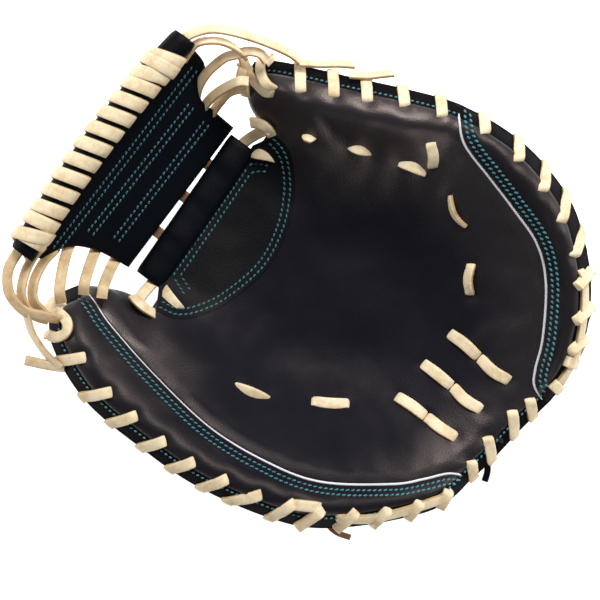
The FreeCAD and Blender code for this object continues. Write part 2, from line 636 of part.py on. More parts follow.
# ---- web -----------------------------------------------------------------------------------------------
add("web_front_panel", web_plate(WEB_OUTLINE, 0.0, WEB_LEATHER))
web_back_outline = [(x * 0.97, y) for x, y in WEB_OUTLINE]
add("web_back_panel", web_plate(web_back_outline, -WEB_LEATHER - LAYER_GAP, WEB_LEATHER))
add("web_thread", *[web_thread(start, end, shift) for start, end in WEB_ROWS for shift in (-1.5, 1.5)])
add("web_bar_core", Part.makeCylinder(BAR_CORE_RADIUS, BAR_END_X - BAR_START_X,
                                      Vector(BAR_START_X, BAR_Y, BAR_Z), Vector(1.0, 0.0, 0.0)))


def bar_ring(x):
    """One turn of the lace wound round the web bar."""
    inner = BAR_CORE_RADIUS + LACE_CLEARANCE
    outer = inner + LACE_THICKNESS
    axis = Vector(1.0, 0.0, 0.0)
    start = Vector(x - LACE_WIDTH / 2.0, BAR_Y, BAR_Z)
    return Part.makeCylinder(outer, LACE_WIDTH, start, axis).cut(
        Part.makeCylinder(inner, LACE_WIDTH, start, axis))


first_wrap_x = BAR_START_X + BAR_BARE_END
wrap_pitch = (BAR_END_X - BAR_START_X - 2.0 * BAR_BARE_END) / (WRAP_COUNT - 1)
add("web_bar_lace", *[bar_ring(first_wrap_x + i * wrap_pitch) for i in range(WRAP_COUNT)])


def web_bridge(x):
    """Lace from the web's inner edge down to the crotch roll."""
    web_top = web_height(102.0) + 1.2
    return strap((x, 82.0), (x, 102.0), [(0.0, CROTCH_ROLL_TOP), (9.0, CROTCH_ROLL_TOP + 0.4),
                                         (18.0, web_top - 1.0), (19.5, web_top - 4.0)])


add("web_crotch_laces", *[web_bridge(x) for x in BRIDGE_X])

# ---- laces from the web to the two tips -------------------------------------------------------------------
add("web_lace_index", *[tube(points, LACE_RADIUS) for points in INDEX_WEB_LACES])
add("web_lace_thumb", *[tube(points, LACE_RADIUS) for points in THUMB_WEB_LACES])
tip_lift = LACE_RADIUS + LAYER_GAP
add("index_tip_lace", *[tube(on_surface(points, tip_lift), LACE_RADIUS) for points in INDEX_TIP_LOOPS])
add("thumb_tip_lace", *[tube(on_surface(points, tip_lift), LACE_RADIUS) for points in THUMB_TIP_LOOPS])

# ---- write one file per sub-part -------------------------------------------------------------------------------
os.makedirs("parts", exist_ok=True)
for name, shape in nodes.items():
    shape.exportStep("parts/" + name + ".step")
    print(name, len(shape.Solids), round(shape.Volume / 1000.0, 2), "cm3", shape.isValid())
whole = Part.makeCompound(list(nodes.values())).BoundBox
print("box", round(whole.XMin, 1), round(whole.XMax, 1), round(whole.YMin, 1), round(whole.YMax, 1),
      round(whole.ZMin, 2), round(whole.ZMax, 1))
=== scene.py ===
import json
import math

import bpy
import numpy as np
from mathutils import Matrix, Vector, noise
from mathutils.bvhtree import BVHTree
from mathutils.geometry import delaunay_2d_cdt


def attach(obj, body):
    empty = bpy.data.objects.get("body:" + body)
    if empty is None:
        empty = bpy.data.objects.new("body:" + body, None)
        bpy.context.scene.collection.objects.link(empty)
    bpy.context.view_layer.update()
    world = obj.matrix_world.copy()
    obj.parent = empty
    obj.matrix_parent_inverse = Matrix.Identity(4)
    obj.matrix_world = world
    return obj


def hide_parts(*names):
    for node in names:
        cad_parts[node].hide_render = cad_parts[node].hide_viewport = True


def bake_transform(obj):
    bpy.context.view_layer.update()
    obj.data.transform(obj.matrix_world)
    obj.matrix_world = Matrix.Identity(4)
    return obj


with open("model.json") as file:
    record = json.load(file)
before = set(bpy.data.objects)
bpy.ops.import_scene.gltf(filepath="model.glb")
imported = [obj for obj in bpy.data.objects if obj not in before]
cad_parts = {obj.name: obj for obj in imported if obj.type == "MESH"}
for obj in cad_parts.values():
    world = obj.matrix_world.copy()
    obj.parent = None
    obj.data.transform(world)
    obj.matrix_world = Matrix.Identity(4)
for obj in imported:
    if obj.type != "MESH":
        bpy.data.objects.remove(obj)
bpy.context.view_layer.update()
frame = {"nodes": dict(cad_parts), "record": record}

MM = 0.001


# ---- the mitt's driving sizes, in millimetres, as in the CAD model ----
RIM_MEAN_RADIUS = 125.0
POCKET_FLOOR = 50.0
SIDE_RISE = 50.0
HEEL_RISE = 18.0
CROTCH_RISE = 8.0
RIM_THICKNESS = 9.0
LEATHER = 3.0
LACE_WIDTH = 5.8
LACE_THICKNESS = 1.7
SPLIT_X = -5.0
WEB_INNER_Y = 93.0
WEB_INNER_Z = 56.0
WEB_SLOPE = 0.87
BAR_Z = 98.5


# ---- sizes that only the visual model has, in millimetres ----
BACK_THICKNESS = 2.4
OPENING_Y = -56.0            # top of the hand opening in the back
STRIP_WIDTH = 7.2            # turned-up edge of the back along the rim
STRIP_LIFT = 0.35
STRIP_STITCH_INSET = 2.2
WELT_STITCHES = 3.6          # from a welt of the back to the stitches beside it
BACK_STITCH_LIFT = -0.3      # the back faces down, so its stitches stand out downward
PIPING_LIFT = 0.35
PATCH_LIFT = 0.45
LACE_LIFT = 0.95             # middle of a lace above the leather that it lies on
CROSSING_LIFT = 2.3          # the same where it passes over another lace
HOLE_DEPTH = 2.4             # how far into a hole a lace is drawn
SUNK_TIE = 0.6               # a tie tucked by more than this has no upright ends
TIE_SHOWING = 0.86           # share of the way between its holes over which a tie shows
STITCH_SIDES = 6
SEAM_GROOVE = 1.4
SEAM_GROOVE_REACH = 3.5
HOLE_DIMPLE = 1.0
HOLE_DIMPLE_REACH = 3.6
LOOP_SQUEEZE = 0.25
LOOP_SQUEEZE_REACH = 4.0
SEAM_HOLD_REACH = 3.0        # how far a seam or the rim holds the settling leather
STRAP_TOP = 3.2
STRAP_MIDDLE = (-4.0, -80.5)
FLEECE_LEFT, FLEECE_RIGHT = -36.0, 28.0
FLEECE_LOW, FLEECE_HIGH = -95.0, -66.0
WEB_MIDDLE = (-6.0, 114.0)
BAR_MIDDLE_X = -6.5
BAR_LEFT, BAR_RIGHT = -75.0, 62.0
FIRST_WRAP_X, WRAP_PITCH, EVEN_WRAPS = -46.0, 9.6, 9
ROLL_LEFT, ROLL_RIGHT = -48.0, 38.0
BRIDGE_X = (-25.3, -2.3, 18.4)
GRID_LOW = -130.0            # one-millimetre grid on which the settled palm is measured
GRID_COUNT = 261


# ---- simulation of the leather and the pads; lengths here are in metres ----
CLOTH_FRAMES = 20
ROLL_PRESSURE, ROLL_CAP = 4.0, 0.0024
PALM_PRESSURE, PALM_CAP = 1.0, 0.0012
PAD_CELL = 0.004
PAD_PRESSURE, PAD_CAP = 4.0, 0.0004
PAD_DRAWN_IN = 0.0009        # each side of a pad, so that pads do not touch at rest


# ---- picture ----
PICTURE_RIGHT = Vector((0.602, -0.799, 0.0))
PICTURE_UP = Vector((0.799, 0.602, 0.0))
TOWARD_CAMERA = Vector((0.0, 0.0, 1.0))
LOOK_AT = Vector((-0.0091, 0.0119, 0.080))
CAMERA_HEIGHT = 1.7
FLOOR_HALF = 3.0


# ---- outlines in plan ----
THUMB_RIM = [(-31.0, -113.5), (-44.0, -111.0), (-59.0, -103.0), (-86.0, -77.0), (-103.0, -51.0),
             (-115.0, -6.0), (-117.0, 32.0), (-115.0, 68.0), (-104.0, 97.0), (-91.0, 110.5)]
THUMB_TIP = [(-91.0, 110.5), (-86.0, 112.5), (-80.0, 111.5), (-71.0, 106.5)]
THUMB_INSIDE = [(-70.0, 105.5), (-64.0, 95.0), (-61.5, 84.0), (-63.0, 70.0)]
CROTCH_EDGE = [(-63.0, 70.0), (-45.0, 71.5), (36.0, 76.5), (54.0, 76.0)]
FINGER_INSIDE = [(54.0, 76.0), (53.0, 87.0), (58.0, 96.5), (66.0, 102.0), (74.0, 103.5)]
FINGER_RIM_UPPER = [(74.0, 103.5), (80.0, 96.0), (88.0, 79.0), (97.0, 58.0), (107.0, 36.0), (115.0, 17.0),
                    (118.5, 7.0)]
FINGER_RIM_LOWER = [(118.5, 7.0), (121.5, -12.0), (122.0, -32.0), (118.5, -52.0), (112.0, -70.0),
                    (101.0, -86.0), (88.0, -100.0), (73.0, -111.0), (58.0, -118.0), (42.0, -122.0),
                    (26.5, -122.0)]
HEEL_RIM = [(26.5, -122.0), (7.0, -119.0), (-15.0, -116.5), (-31.0, -113.5)]
THUMB_SEAM = [(-70.5, 106.0), (-73.0, 95.0), (-77.5, 81.0), (-84.0, 49.0), (-88.5, 10.0), (-85.0, -24.0),
              (-76.5, -52.0), (-56.0, -82.0), (-44.0, -94.0), (-34.0, -103.0), (-29.5, -113.0)]
FINGER_SEAM = [(118.5, 7.0), (111.0, 1.5), (103.5, -8.0), (98.0, -28.0), (93.0, -46.0), (86.0, -67.0),
               (73.0, -83.0), (50.0, -99.0), (35.0, -106.0), (28.0, -111.0), (24.5, -120.5)]
CROTCH_SEAM = [(-57.0, 68.0), (-54.5, 58.0), (-47.0, 50.0), (-32.0, 42.0), (-7.0, 36.5), (15.0, 40.0),
               (32.0, 48.0), (43.0, 57.0), (48.5, 65.0), (50.0, 73.0)]
WEB_LEFT = [(-71.5, 133.5), (-71.5, 129.6), (-62.0, 125.0), (-55.4, 118.9), (-51.0, 108.0), (-49.0, 93.0)]
WEB_RIGHT = [(41.5, 93.0), (42.0, 105.0), (42.6, 114.4), (51.0, 118.5), (58.0, 123.5), (60.5, 133.5)]
FINGER_WELTS = [[(52.0, 12.0), (74.0, 27.0), (100.0, 44.0)],
                [(50.0, -20.0), (76.0, -22.0), (114.0, -26.0)],
                [(48.0, -48.0), (66.0, -58.0), (92.0, -84.0)],
                [(52.0, 40.0), (60.0, 52.0), (84.0, 74.0)]]
THUMB_WELTS = [[(-58.0, -44.0), (-76.0, 0.0), (-80.0, 60.0), (-76.0, 96.0)],
               [(-64.0, -70.0), (-92.0, -22.0), (-104.0, 40.0), (-96.0, 92.0)]]


# ---- numeric helpers ----
def smooth(t):
    """Rise from 0 to 1 with level ends."""
    t = np.clip(t, 0.0, 1.0)
    return t * t * (3.0 - 2.0 * t)


def rim_fraction(x, y):
    """0 in the middle of the pocket, 1 on the rim."""
    angle = np.arctan2(y, x)
    radius = (RIM_MEAN_RADIUS + 5.0 * np.sin(angle) - 5.0 * np.cos(2.0 * angle)
              - 9.7 * np.sin(2.0 * angle))
    return np.hypot(x, y) / radius


def front_height(x, y):
    """Palm surface of the CAD model."""
    radius = np.maximum(1e-6, np.hypot(x, y))
    toward_heel = np.maximum(0.0, -y / radius) ** 4
    toward_web = np.maximum(0.0, y / radius) ** 4
    rise = SIDE_RISE - (SIDE_RISE - HEEL_RISE) * toward_heel - (SIDE_RISE - CROTCH_RISE) * toward_web
    flat = smooth((62.0 - np.abs(x + 5.0)) / 30.0) * smooth((y - 20.0) / 50.0)
    rise = rise * (1.0 - 0.8 * flat)
    return POCKET_FLOOR + rise * smooth((rim_fraction(x, y) - 0.2) / 0.8)


def back_height(x, y):
    """Outer surface of the back in the CAD model."""
    under_rim = front_height(x, y) - RIM_THICKNESS
    height = under_rim * smooth((rim_fraction(x, y) - 0.42) / 0.58)
    closing = smooth((60.0 - np.abs(x + 5.0)) / 15.0) * smooth((y - 35.0) / 40.0)
    return height + (under_rim - height) * closing - 1.0


def curve(points, step=2.0):
    """Even points along a smooth curve through the given points."""
    p = np.array(points, float)
    if len(p) == 2:
        count = max(1, int(round(np.linalg.norm(p[1] - p[0]) / step)))
        t = np.linspace(0.0, 1.0, count + 1)[:, None]
        return p[0] * (1.0 - t) + p[1] * t
    padded = np.vstack([2.0 * p[0] - p[1], p, 2.0 * p[-1] - p[-2]])
    fine = []
    for i in range(len(p) - 1):
        p0, p1, p2, p3 = padded[i:i + 4]
        t = np.linspace(0.0, 1.0, 24, endpoint=False)[:, None]
        fine.append(0.5 * (2.0 * p1 + (p2 - p0) * t + (2.0 * p0 - 5.0 * p1 + 4.0 * p2 - p3) * t ** 2
                           + (3.0 * p1 - p0 - 3.0 * p2 + p3) * t ** 3))
    fine.append(p[-1:])
    fine = np.vstack(fine)
    run = np.concatenate([[0.0], np.cumsum(np.linalg.norm(np.diff(fine, axis=0), axis=1))])
    count = max(2, int(round(run[-1] / step)))
    where = np.linspace(0.0, run[-1], count + 1)
    return np.stack([np.interp(where, run, fine[:, k]) for k in range(p.shape[1])], axis=1)


def beside(points, distance):
    """Plan curve moved to the left of its direction."""
    p = np.array(points, float)
    along = np.gradient(p, axis=0)
    along /= np.maximum(1e-9, np.linalg.norm(along, axis=1))[:, None]
    return p + np.stack([-along[:, 1], along[:, 0]], axis=1) * distance


def distance_to(xy, line):
    """Distance from each plan point to a polyline."""
    xy = np.atleast_2d(np.asarray(xy, float))
    a, b = line[:-1], line[1:]
    ab = b - a
    length2 = np.maximum(1e-12, (ab ** 2).sum(1))
    best = np.full(len(xy), 1e9)
    for start in range(0, len(xy), 2000):
        block = xy[start:start + 2000]
        t = np.clip(((block[:, None, :] - a) * ab).sum(2) / length2, 0.0, 1.0)
        near = a + ab * t[..., None]
        best[start:start + 2000] = np.sqrt(((block[:, None, :] - near) ** 2).sum(2)).min(1)
    return best


def inside(xy, loop):
    """Which plan points are inside a closed loop."""
    x, y = xy[:, 0], xy[:, 1]
    result = np.zeros(len(xy), bool)
    for (x1, y1), (x2, y2) in zip(loop, np.roll(loop, -1, axis=0)):
        crosses = (y1 > y) != (y2 > y)
        if abs(y2 - y1) > 1e-12:
            result ^= crosses & (x < (x2 - x1) * (y - y1) / (y2 - y1) + x1)
    return result


thumb_rim, thumb_tip, thumb_inside = curve(THUMB_RIM), curve(THUMB_TIP), curve(THUMB_INSIDE)
finger_upper, finger_lower = curve(FINGER_RIM_UPPER), curve(FINGER_RIM_LOWER)
finger_inside = curve(FINGER_INSIDE)
thumb_seam, finger_seam, crotch_seam = curve(THUMB_SEAM), curve(FINGER_SEAM), curve(CROTCH_SEAM)
crotch, heel = curve(CROTCH_EDGE), curve(HEEL_RIM)
OUTER_RIM = np.vstack([line[::-1] for line in (thumb_tip, thumb_rim, heel, finger_lower, finger_upper)])
RIM_LINE = np.vstack([thumb_inside[::-1], OUTER_RIM, finger_inside[::-1]])
STRIP_LINE = beside(OUTER_RIM, STRIP_WIDTH)
THUMB_ROLL_LOOP = np.vstack([thumb_seam, thumb_rim, thumb_tip])
FINGER_ROLL_LOOP = np.vstack([finger_seam, finger_lower[::-1]])


# ---- lace holes ----
# each loop over the rim: its hole in the palm, and a point that it heads for
FINGER_LOOPS = [((75.5, 75.0), (86.0, 83.5)), ((83.5, 60.0), (92.0, 67.0)),
                ((91.5, 45.0), (100.0, 52.0)), ((101.0, 28.7), (108.3, 35.3)),
                ((108.0, 10.5), (115.8, 17.0)), ((114.2, -12.0), (121.3, -6.0)),
                ((113.0, -33.7), (123.0, -27.0)), ((108.3, -52.6), (120.0, -46.5)),
                ((101.5, -69.4), (114.0, -63.8)), ((91.8, -85.0), (103.5, -81.8))]
THUMB_LOOPS = [((-92.3, -47.5), (-105.0, -42.5)), ((-99.3, -31.3), (-109.5, -22.5)),
               ((-103.2, -13.0), (-114.0, -6.0)), ((-106.3, 5.6), (-116.3, 12.6)),
               ((-106.7, 23.6), (-117.2, 31.3)), ((-105.3, 42.8), (-116.5, 51.0)),
               ((-103.4, 60.1), (-114.6, 70.5)), ((-97.4, 81.2), (-107.7, 91.4))]
HEEL_LOOPS = [((21.3, -112.8), (14.4, -121.0)), ((11.0, -109.5), (0.6, -119.2)),
              ((-7.5, -107.4), (-16.0, -117.0)), ((-22.4, -107.8), (-28.7, -114.6))]
# each tie on the palm: the two holes that its leather is drawn down at
POCKET_TIES = [((67.7, 39.4), (72.6, 27.3)), ((77.5, 13.3), (81.2, -0.2)),
               ((94.0, 6.6), (85.5, -1.8)), ((78.9, -16.6), (71.0, -33.1)),
               ((58.4, -47.5), (45.6, -56.3)), ((-64.0, 12.2), (-59.5, -5.9)),
               ((-47.3, -24.7), (-36.6, -40.5))]
HEEL_TIES = [((-18.9, -58.1), (-18.3, -75.6)), ((-18.3, -76.6), (-17.7, -94.5)),
             ((3.0, -58.8), (2.6, -77.2)), ((2.3, -78.3), (1.7, -96.4)),
             ((23.9, -60.3), (23.1, -79.0)), ((22.7, -80.2), (22.4, -98.8))]
# laces that run along the rim, and the loops that cross them
FINGER_CHAIN_PATH = [(88.5, -92.5), (87.5, -94.5), (80.9, -100.5), (73.9, -105.8), (62.3, -112.7),
                     (53.5, -117.0), (44.9, -118.9), (35.6, -119.5)]
FINGER_CROSSINGS = [((80.4, -95.8), (92.4, -97.0)), ((66.0, -106.0), (77.9, -108.2)),
                    ((52.0, -113.2), (64.3, -116.3)), ((47.8, -114.6), (50.7, -123.0)),
                    ((34.7, -116.8), (34.2, -124.0))]
THUMB_CHAIN_PATH = [(-40.4, -108.8), (-45.8, -107.0), (-53.3, -101.8), (-64.7, -93.2), (-76.5, -82.3),
                    (-85.8, -68.9)]
THUMB_LINK = [(-86.4, -59.1), (-93.5, -47.2)]
THUMB_CROSSINGS = [((-86.6, -60.6), (-98.4, -56.9)), ((-77.4, -75.2), (-88.8, -72.5)),
                   ((-66.4, -87.5), (-77.9, -85.8)), ((-54.0, -98.5), (-64.3, -98.5)),
                   ((-41.1, -107.2), (-50.0, -108.5))]
# each tie of the pocket: its two holes, tilt in degrees, sideways bow and tuck
FINGER_POCKET_TIES = [((58.4, 62.5), (61.8, 53.8), 78.0, 0.6, 2.9),
                      ((67.4, 40.2), (72.9, 26.5), 52.0, 1.6, 1.5),
                      ((77.2, 14.4), (81.5, -1.2), 40.0, 1.4, 0.8),
                      ((95.0, 7.6), (84.8, -2.4), 10.0, 1.0, 0.2),
                      ((79.4, -15.6), (70.4, -34.1), -38.0, -1.6, 0.7),
                      ((59.4, -46.6), (44.8, -56.9), -15.0, -1.4, 0.3)]
THUMB_POCKET_TIES = [((-64.4, 13.6), (-59.0, -7.2), -50.0, -1.4, 1.1),
                     ((-48.0, -23.4), (-36.0, -41.6), -22.0, -1.2, 0.5)]
HEEL_TIE_BOWS = (0.4, -0.8, 0.3, -1.6, 0.8, -1.4)
RIM_LOOPS = FINGER_LOOPS + THUMB_LOOPS + HEEL_LOOPS
TIE_HOLES = np.array([end for pair in POCKET_TIES + HEEL_TIES for end in pair])
ALL_HOLES = np.vstack([np.array([pair[0] for pair in RIM_LOOPS]), TIE_HOLES])


# ---- visible surfaces ----
def rim_drop(d, reach=17.0, depth=7.0):
    """How far the leather curls down within reach of its rim."""
    t = np.clip(1.0 - d / reach, 0.0, 1.0)
    return depth * t ** 2.2


def soft_noise(x, y, scale, seed=0.0):
    """Smooth pseudo-random field in plan."""
    return np.array([noise.noise(Vector((a / scale + seed, b / scale - seed, seed))) for a,
                     b in zip(x, y)])


def palm_height(x, y):
    """Palm surface with its rolls, seams, creases and lace dimples."""
    x, y = np.atleast_1d(np.asarray(x, float)), np.atleast_1d(np.asarray(y, float))
    xy = np.stack([x, y], axis=1)
    z = front_height(x, y)
    rim = distance_to(xy, RIM_LINE)
    outer_rim = distance_to(xy, OUTER_RIM)
    to_thumb_seam = distance_to(xy, thumb_seam)
    to_finger_seam = distance_to(xy, finger_seam)
    for roll_loop, seam, full_width, fullness in ((THUMB_ROLL_LOOP, to_thumb_seam, 34.0, 5.0),
                                                  (FINGER_ROLL_LOOP, to_finger_seam, 30.0, 6.5)):
        across = seam / np.maximum(1e-6, seam + outer_rim)
        width = np.minimum(1.0, (seam + outer_rim) / full_width)
        crown = np.sin(np.pi * np.clip(across, 0.0, 1.0)) ** 1.2
        z = z + np.where(inside(xy, roll_loop), fullness * crown * width, 0.0)
    for seam in (to_thumb_seam, to_finger_seam):
        z = z - SEAM_GROOVE * np.exp(-(seam / SEAM_GROOVE_REACH) ** 2)
    tip_roll = smooth((y + 5.0) / 25.0) * smooth((x - 55.0) / 20.0) * np.exp(-((rim - 19.0) / 10.0) ** 2)
    z = z + 6.6 * tip_roll + 3.6 * np.exp(-((x + 91.0) ** 2 + (y - 88.0) ** 2) / 260.0)
    z = z - rim_drop(rim) - 1.3 * smooth((STRIP_WIDTH - outer_rim) / 0.9)
    for hole_x, hole_y in ALL_HOLES:
        from_hole = np.hypot(x - hole_x, y - hole_y)
        z = z - HOLE_DIMPLE * np.exp(-(from_hole / HOLE_DIMPLE_REACH) ** 2)
    for lace_line in RIM_LOOPS:
        from_lace = distance_to(xy, np.array(lace_line))
        z = z - LOOP_SQUEEZE * np.exp(-(from_lace / LOOP_SQUEEZE_REACH) ** 2)
    return z + 0.9 * soft_noise(x, y, 34.0, 3.1) + 0.35 * soft_noise(x, y, 11.0, 7.7)


def surface_normals(height, x, y, reach):
    """Upward normals of a height field, from heights taken within reach on each side."""
    dx = (height(x + reach, y) - height(x - reach, y)) / (2.0 * reach)
    dy = (height(x, y + reach) - height(x, y - reach)) / (2.0 * reach)
    n = np.stack([-dx, -dy, np.ones_like(dx)], axis=1)
    return n / np.linalg.norm(n, axis=1)[:, None]


def palm_normal(point):
    """Upward normal of the finished palm at a plan point."""
    return surface_normals(finished_height, point[:1], point[1:], 1.5)[0]


# ---- materials ----
class Nodes:
    """Small helper that builds a material's node tree."""

    def __init__(self, name):
        self.material = bpy.data.materials.new(name)
        self.material.use_nodes = True
        self.tree = self.material.node_tree
        self.shader = self.tree.nodes["Principled BSDF"]
        self.coordinates = self.tree.nodes.new("ShaderNodeTexCoord").outputs["Object"]

    def link(self, output, target):
        self.tree.links.new(output, target)

    def noise(self, scale, detail=3.0, roughness=0.5, stretch=None):
        node = self.tree.nodes.new("ShaderNodeTexNoise")
        node.inputs["Scale"].default_value = scale
        node.inputs["Detail"].default_value = detail
        node.inputs["Roughness"].default_value = roughness
        self.link(self.mapped(stretch), node.inputs["Vector"])
        return node.outputs["Fac"]

    def cells(self, scale):
        node = self.tree.nodes.new("ShaderNodeTexVoronoi")
        node.inputs["Scale"].default_value = scale
        self.link(self.coordinates, node.inputs["Vector"])
        return node.outputs["Distance"]

    def mapped(self, stretch, shift=(0.0, 0.0, 0.0)):
        if stretch is None:
            return self.coordinates
        node = self.tree.nodes.new("ShaderNodeMapping")
        node.inputs["Scale"].default_value = stretch
        node.inputs["Location"].default_value = shift
        self.link(self.coordinates, node.inputs["Vector"])
        return node.outputs["Vector"]

    def ramp(self, value, stops):
        node = self.tree.nodes.new("ShaderNodeValToRGB")
        ramp = node.color_ramp
        while len(ramp.elements) < len(stops):
            ramp.elements.new(0.5)
        for element, (position, color) in zip(ramp.elements, stops):
            element.position = position
            element.color = (*color, 1.0) if len(color) == 3 else color
        self.link(value, node.inputs["Fac"])
        return node.outputs["Color"]

    def mix(self, factor, first, second):
        node = self.tree.nodes.new("ShaderNodeMix")
        node.data_type = "RGBA"
        for value, socket in ((factor, node.inputs[0]), (first, node.inputs[6]),
                              (second, node.inputs[7])):
            if isinstance(value, (int, float)):
                socket.default_value = value
            elif isinstance(value, tuple):
                socket.default_value = (*value, 1.0)
            else:
                self.link(value, socket)
        return node.outputs[2]

    def range(self, value, low, high):
        node = self.tree.nodes.new("ShaderNodeMapRange")
        node.inputs["To Min"].default_value = low
        node.inputs["To Max"].default_value = high
        self.link(value, node.inputs["Value"])
        return node.outputs["Result"]

    def out_from_pocket(self, low, high):
        """A value that rises from low in the pocket to high near the rim.

        The low part lies nearer the thumb and the heel than the middle.
        """
        length = self.tree.nodes.new("ShaderNodeVectorMath")
        length.operation = "LENGTH"
        self.link(self.mapped((1.0 / 0.120, 1.0 / 0.122, 0.0), (0.11, 0.10, 0.0)), length.inputs[0])
        node = self.tree.nodes.new("ShaderNodeMapRange")
        node.interpolation_type = "SMOOTHSTEP"
        node.inputs["From Min"].default_value = 0.50
        node.inputs["From Max"].default_value = 0.88
        node.inputs["To Min"].default_value = low
        node.inputs["To Max"].default_value = high
        self.link(length.outputs["Value"], node.inputs["Value"])
        return node.outputs["Result"]

    def bump(self, height, strength, distance, under=None):
        node = self.tree.nodes.new("ShaderNodeBump")
        node.inputs["Strength"].default_value = strength
        node.inputs["Distance"].default_value = distance
        self.link(height, node.inputs["Height"])
        if under is not None:
            self.link(under, node.inputs["Normal"])
        return node.outputs["Normal"]

    def finish(self, color, roughness, normal, **sockets):
        self.link(color, self.shader.inputs["Base Color"])
        if isinstance(roughness, float):
            self.shader.inputs["Roughness"].default_value = roughness
        else:
            self.link(roughness, self.shader.inputs["Roughness"])
        if normal is not None:
            self.link(normal, self.shader.inputs["Normal"])
        for name, value in sockets.items():
            self.shader.inputs[name.replace("_", " ")].default_value = value
        return self.material


def leather(name, dark, light, gloss=(0.34, 0.52), grain=1.0, shine=0.36, oiled=False):
    """Oiled cowhide: cell grain, soft creases and slightly mottled dye.

    With oiled, the middle of the pocket is dull and the rolls keep their shine.
    """
    n = Nodes(name)
    mottle = n.noise(26.0, 4.0, 0.6)
    color = n.ramp(mottle, [(0.30, dark), (0.72, light)])
    fine = n.noise(420.0, 3.0, 0.6)
    color = n.mix(n.range(fine, 0.0, 0.35), color, tuple(0.55 * c for c in dark))
    rough = n.range(n.noise(70.0, 5.0, 0.65), gloss[0], gloss[1])
    creases = n.bump(n.noise(60.0, 5.0, 0.55), 0.16 * grain, 0.0011)
    cells = n.bump(n.cells(1150.0), 0.30 * grain, 0.00022, creases)
    pores = n.bump(n.noise(2100.0, 2.0, 0.7), 0.18 * grain, 0.00012, cells)
    material = n.finish(color, rough, pores, Specular_IOR_Level=shine,
                        Specular_Tint=(1.0, 0.80, 0.72, 1.0))
    if oiled:
        n.link(n.out_from_pocket(0.04, shine), n.shader.inputs["Specular IOR Level"])
    return material


def lace_leather(name, pale, tan, soil):
    """Rawhide lace: pale face, tan flecks along it and fine flecks of soil."""
    n = Nodes(name)
    flecks = n.noise(150.0, 5.0, 0.68)
    color = n.ramp(flecks, [(0.34, tan), (0.56, pale)])
    color = n.mix(n.range(n.noise(900.0, 3.0, 0.7), 0.0, 0.38), color, soil)
    rough = n.range(n.noise(240.0, 4.0, 0.6), 0.42, 0.66)
    fibre = n.bump(n.noise(700.0, 5.0, 0.7), 0.30, 0.0003)
    return n.finish(color, rough, fibre, Specular_IOR_Level=0.4, Subsurface_Weight=0.05)


def thread_material(name, dark, light):
    """Waxed thread with a twist."""
    n = Nodes(name)
    color = n.ramp(n.noise(1500.0, 2.0, 0.6), [(0.35, dark), (0.62, light)])
    return n.finish(color, 0.45, n.bump(n.noise(3200.0, 2.0), 0.35, 0.0001), Sheen_Weight=0.3)


def woven(name, dark, light, scale, rough, bump):
    """Felt or fleece: matted fibres at two sizes."""
    n = Nodes(name)
    color = n.ramp(n.noise(scale, 6.0, 0.75), [(0.30, dark), (0.70, light)])
    fluff = n.bump(n.noise(scale * 2.2, 6.0, 0.8), 0.8, bump)
    return n.finish(color, rough, fluff, Sheen_Weight=0.12, Sheen_Roughness=0.6)


NAVY = leather("navy_leather", (0.0075, 0.0078, 0.0115), (0.0125, 0.0120, 0.0165),
               gloss=(0.36, 0.46), shine=0.66, oiled=True)
# painted shade: a darker copy of the palm leather for the rolls, standing for the shade on their sides that
# face away from the lights
NAVY_ROLL_PAINTED_SHADE = leather("navy_roll_leather_painted_shade", (0.0030, 0.0038, 0.0068), (0.0075, 0.0078, 0.0115),
                    gloss=(0.40, 0.52), shine=0.38, oiled=True)
NAVY_PATCH = leather("navy_patch_leather", (0.0016, 0.0036, 0.0056), (0.0070, 0.0074, 0.0090),
                     gloss=(0.48, 0.62), grain=1.5, shine=0.12)
NAVY_BACK = leather("navy_back_leather", (0.0026, 0.0034, 0.0062), (0.0070, 0.0074, 0.0110),
                    gloss=(0.46, 0.62), grain=1.3, shine=0.16)
NAVY_WEB = leather("navy_web_leather", (0.0008, 0.0022, 0.0042), (0.0022, 0.0042, 0.0072),
                   gloss=(0.42, 0.56), shine=0.09)
# near-black binding leather: its own navy-black and painted shade, darkened for the trench between the rim
# loops; the hand-opening binding and heel cuff share it
BINDING_DARKENED_FOR_TRENCH_SHADE = leather("navy_binding_darkened_for_trench_shade", (0.0008, 0.0012, 0.0026), (0.0024, 0.0028, 0.0046),
                  gloss=(0.50, 0.64), grain=0.8, shine=0.07)
LINING = leather("tan_lining_leather", (0.150, 0.095, 0.055), (0.260, 0.175, 0.105),
                 gloss=(0.55, 0.72), grain=0.8)
LACE = lace_leather("blond_lace", (0.83, 0.69, 0.47), (0.66, 0.49, 0.29), (0.45, 0.30, 0.16))
# sides and underside of the laces: the darker colour of cut edges and flesh side, partly painted shade
# along the sides
LACE_CUT_EDGE_AND_SHADE = lace_leather("lace_cut_edge_and_painted_shade", (0.55, 0.38, 0.20), (0.38, 0.23, 0.10), (0.25, 0.15, 0.07))
